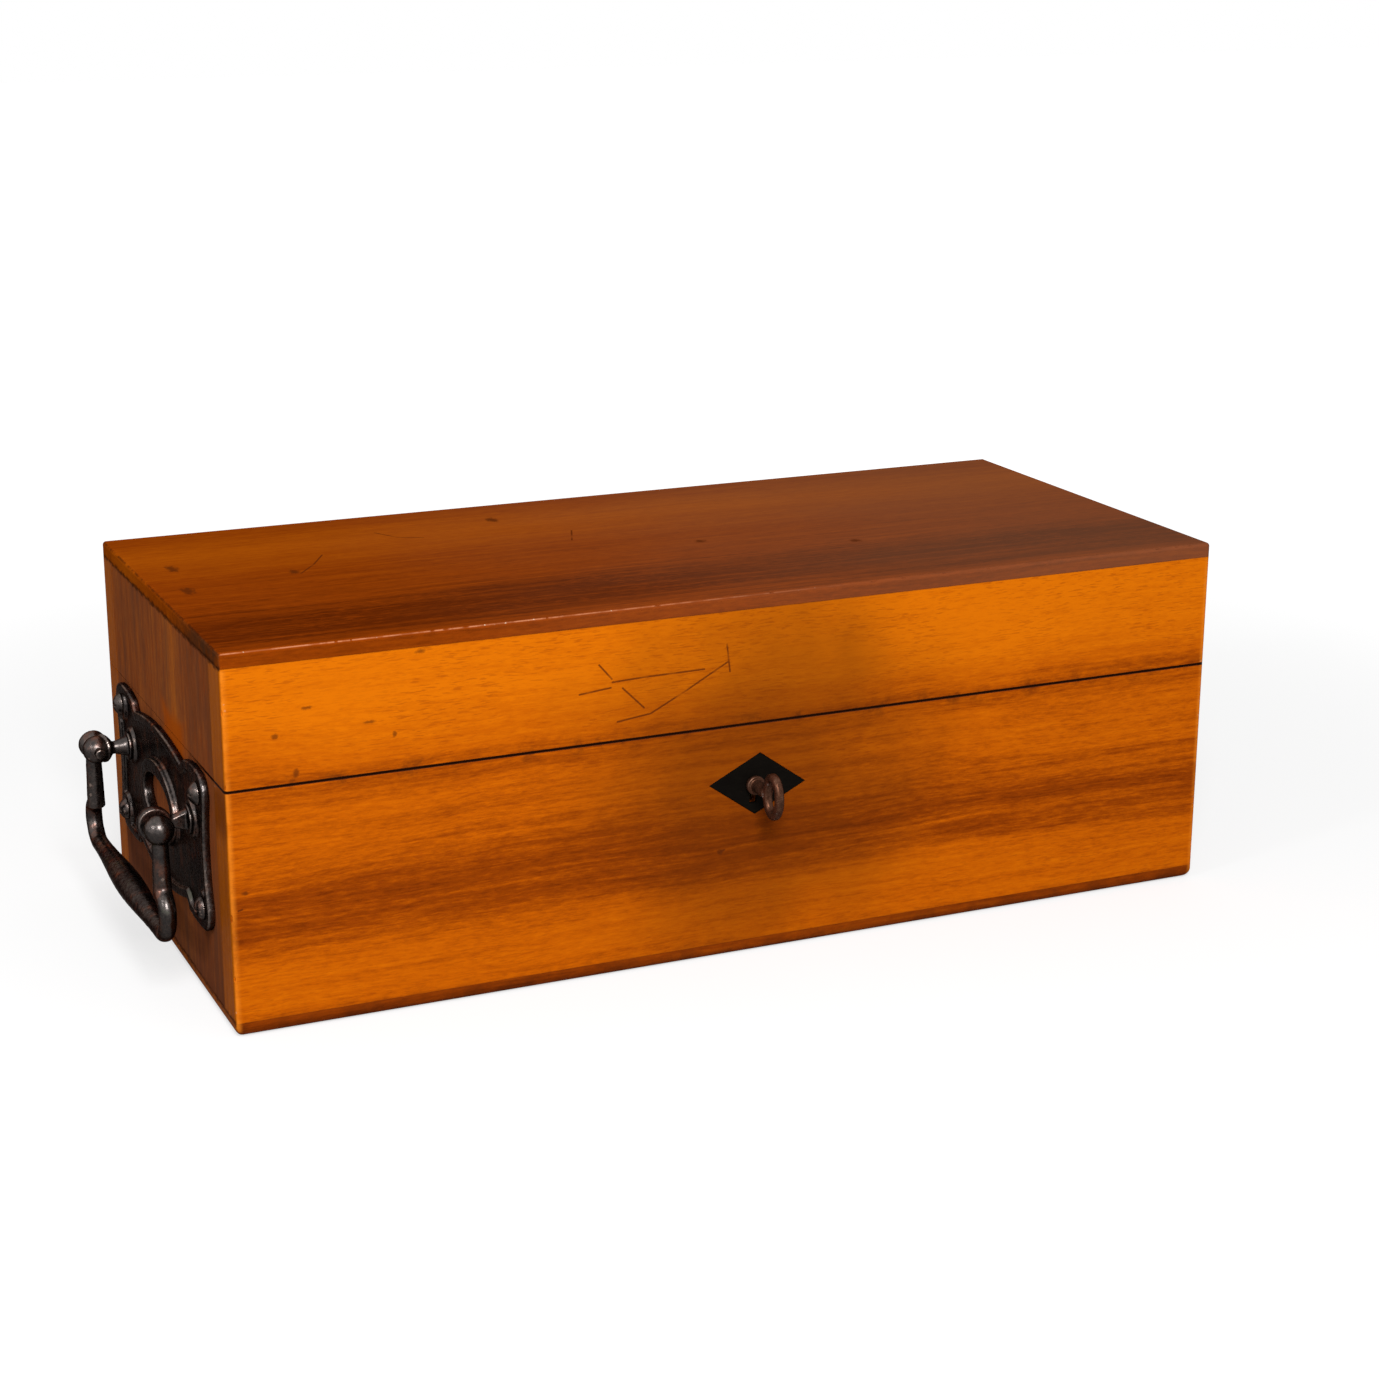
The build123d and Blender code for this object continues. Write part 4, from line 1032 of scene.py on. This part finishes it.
# %% Brass for hinges and lock
def dull_brass(name, tarnish, seed=0.0):
    material, place, shader = new_finish(name)
    cloud = place.noise((9, 9, 9), detail=4, roughness=0.6, move=seed) - 0.5
    filed = place.noise((14, 0.3, 0.3), detail=2, move=seed + 3) - 0.5
    specks = place.noise((1.1, 1.1, 1.1), detail=2, move=seed + 7).smooth(0.62, 0.72)
    brown = (cloud * 2.2 + tarnish).clamped()
    colour = brown.mix((0.50, 0.335, 0.125), (0.17, 0.098, 0.040))
    colour = (specks * 0.7).mix(colour, (0.06, 0.035, 0.02))
    set_surface(shader, bump=filed + 0.5 - specks * 0.4, depth=0.03, Base_Color=colour, Metallic=0.9,
                Roughness=0.34 + brown * 0.2 + filed * 0.25)
    return material


hinge_brass = dull_brass("hinge_brass", 0.35)
lock_brass = dull_brass("lock_brass", 0.55, seed=21)
screw_brass = dull_brass("screw_brass", 0.6, seed=43)
pin_iron = rusty_iron("pin_iron")
METALS = {hinge_brass: [f"{side}_hinge_{part}" for side in ("left", "right")
                        for part in ("body_leaf", "lid_leaf", "pin")],
          lock_brass: ["lock_plate", "lock_cap", "lock_bolt", "link_plate"],
          screw_brass: ["lock_screws", "link_screws", "hinge_body_screws", "hinge_lid_screws"],
          pin_iron: ["lock_pin"]}
for metal, nodes in METALS.items():
    for node in nodes:
        for slot in frame["nodes"][node].material_slots:
            slot.material = metal
print("metal nodes", sum(len(nodes) for nodes in METALS.values()))

# %% [markdown]
# ## Fittings
# Inside, plain blocks of the same wood hold the instrument: a notched cross board, a slotted block, a
# block under the lid and a rack with three pockets. They were cut with a saw and a bit and hardly
# finished, so each gets softened edges and a dull, open wood.

# %% Fitting wood and its pieces
def plain_wood(name, grain, seed):
    """Bare wood, sawn and hardly finished; grain is the direction its streaks run in."""
    material, place, shader = new_finish(name)
    streak = place.noise(grain(70, 2.2), detail=4, roughness=0.6, move=seed) - 0.5
    dash = place.noise(grain(5, 0.6), detail=3, roughness=0.6, move=seed + 5) - 0.5
    cloud = place.noise((30, 30, 30), detail=3, move=seed + 9) - 0.5
    tone = streak * 0.9 + dash * 0.6 + cloud * 0.7 + 0.5
    colour = tone.ramp(
        [(0.0, (0.15, 0.052, 0.018)), (0.5, (0.33, 0.135, 0.045)), (1.0, (0.50, 0.25, 0.09))])
    stain = place.noise((12, 12, 12), detail=4, move=seed + 15).smooth(0.58, 0.75)
    colour = (stain * 0.5).mix(colour, (0.09, 0.035, 0.015))
    set_surface(shader, bump=dash + streak * 0.5 + 0.5, depth=0.06, Base_Color=colour,
                Roughness=0.6 + dash * 0.3, Specular_IOR_Level=0.1)
    return material


cross_grain = plain_wood("cross_grain_wood", along_y, 300.0)
long_grain = plain_wood("long_grain_wood", along_x, 340.0)
FITTINGS = {"tube_cradle": cross_grain, "foot_block": cross_grain, "lid_hold_down": cross_grain,
            "accessory_rack": long_grain}
for node, material in FITTINGS.items():
    fitting = merged_copy(node, "softened_" + node)
    whole_faces(fitting)
    ease_edges(fitting, 0.5, lambda first, last: 0.5)
    smooth_faces(fitting)
    place_piece(fitting, node, material)

# %% [markdown]
# ## Baize
# Two strips of green baize keep the notch and the block from marking brass. Baize is thick felted cloth,
# glued down, so it needs no draping. Each strip starts as a bare skin on its bed, is given a wall and soft
# edges, and a fine cloud pushes its nap about. The skin's own size is the size that the cloth was cut to.

# %% Felt and the cloth's wall
def felt(name):
    material, place, shader = new_finish(name)
    nap = place.noise((0.35, 0.35, 0.35), detail=3, roughness=0.75) - 0.5
    worn = place.noise((7, 7, 7), detail=3, move=4) - 0.5
    colour = (nap * 1.3 + worn * 0.8 + 0.5).ramp(
        [(0.0, (0.008, 0.030, 0.009)), (0.5, (0.022, 0.070, 0.020)), (1.0, (0.055, 0.125, 0.045))])
    set_surface(shader, bump=nap + 0.5, depth=0.25, Base_Color=colour, Roughness=0.9,
                Specular_IOR_Level=0.05, Sheen_Weight=0.3)
    return material


THICK = 1.3 * MM
TRIM = 0.4 * MM
SKIN_INSET = 0.75 * MM
RING = 2 * MM
nap_cloud = bpy.data.textures.new("nap", "CLOUDS")
nap_cloud.noise_scale = 0.004
nap_cloud.noise_depth = 2


def cloth_wall(piece):
    """Gives a bare skin of cloth its thickness, soft edges and a slight unevenness."""
    modify(piece, "SOLIDIFY", thickness=THICK, offset=0.0)
    modify(piece, "BEVEL", width=0.35 * MM, segments=2, limit_method="ANGLE")
    modify(piece, "SUBSURF", levels=1, render_levels=1)
    modify(piece, "DISPLACE", texture=nap_cloud, texture_coords="LOCAL", mid_level=0.6, strength=0.25 * MM)
    alone(piece)
    bpy.ops.object.shade_smooth()


green_baize = felt("green_baize")
print("felt ready")

# %% The strip in the notch
def bisect(point, across, **settings):
    """Cuts everything in the edited mesh by a plane."""
    bpy.ops.mesh.select_all(action="SELECT")
    bpy.ops.mesh.bisect(plane_co=point, plane_no=across, **settings)


strip_low, strip_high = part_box("tube_cradle_baize")
strip_middle = (strip_low.x + strip_high.x) / 2
strip_width = strip_high.x - strip_low.x - TRIM
radius = (strip_high.y - strip_low.y) / 2 - SKIN_INSET
bpy.ops.object.select_all(action="DESELECT")
bpy.ops.mesh.primitive_cylinder_add(vertices=72, radius=radius, depth=strip_width, end_fill_type="NOTHING",
                                    location=(strip_middle, 0, strip_high.z),
                                    rotation=(0, math.radians(90), 0))
strip = bpy.context.object
strip.name = "notch_baize"
bpy.ops.object.transform_apply(location=True, rotation=True, scale=True)
bpy.ops.object.mode_set(mode="EDIT")
bisect((strip_middle, 0, strip_high.z - 0.5 * MM), (0, 0, 1), clear_outer=True)
for ring in range(1, 9):
    bisect((strip_low.x + ring * RING, 0, 0), (1, 0, 0))
bpy.ops.mesh.select_all(action="SELECT")
bpy.ops.mesh.normals_make_consistent(inside=False)
leave_edit()
cloth_wall(strip)
place_piece(strip, "tube_cradle_baize", green_baize)

# %% The pad under the lid's block
pad_low, pad_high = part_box("lid_hold_down_baize")
pad_length, pad_width = (side - TRIM for side in (pad_high - pad_low).xy)
bpy.ops.object.select_all(action="DESELECT")
bpy.ops.mesh.primitive_grid_add(x_subdivisions=9, y_subdivisions=23, size=1.0,
                                location=(pad_low + pad_high) / 2)
pad = bpy.context.object
pad.name = "hold_down_baize"
pad.scale = (pad_length, pad_width, 1)
bpy.ops.object.transform_apply(location=True, rotation=True, scale=True)
cloth_wall(pad)
place_piece(pad, "lid_hold_down_baize", green_baize)

# %% [markdown]
# ## Floor
# The case lies on a plain pale sheet. A white floor lit to white would need so much light that the wood
# would turn pale, so the floor is a middle grey that adds some light of its own for the camera only. That
# light grows with the distance, which hides the horizon, and the shadow of the case stays.

# %% Floor
bpy.ops.mesh.primitive_plane_add(size=8.0, location=(0, 0, -0.0002))
floor = bpy.context.object
floor.name = "studio_floor"
material, place, shader = new_finish("pale_floor")
tree = material.node_tree
camera_ray = place.node("ShaderNodeLightPath", output="Is Camera Ray")
x, y = place.xyz()[:2]
away = (x * x + y * y).sum("SQRT").smooth(260, 900)
paper = camera_ray.mix((0.36, 0.36, 0.36), (0.40, 0.40, 0.40))
set_surface(shader, Base_Color=paper, Roughness=0.9, Specular_IOR_Level=0.0)
matt = Shade(tree, shader.outputs[0])
glow = place.node("ShaderNodeEmission", {}, {"Strength": away * 0.38 + 0.64})
both = place.node("ShaderNodeAddShader", {}, {0: matt, 1: glow})
shown = place.node("ShaderNodeMixShader", {}, {0: camera_ray, 1: matt, 2: both})
tree.links.new(shown.socket, tree.nodes["Material Output"].inputs["Surface"])
floor.data.materials.append(material)
print("floor at", round(floor.location.z / MM, 2))
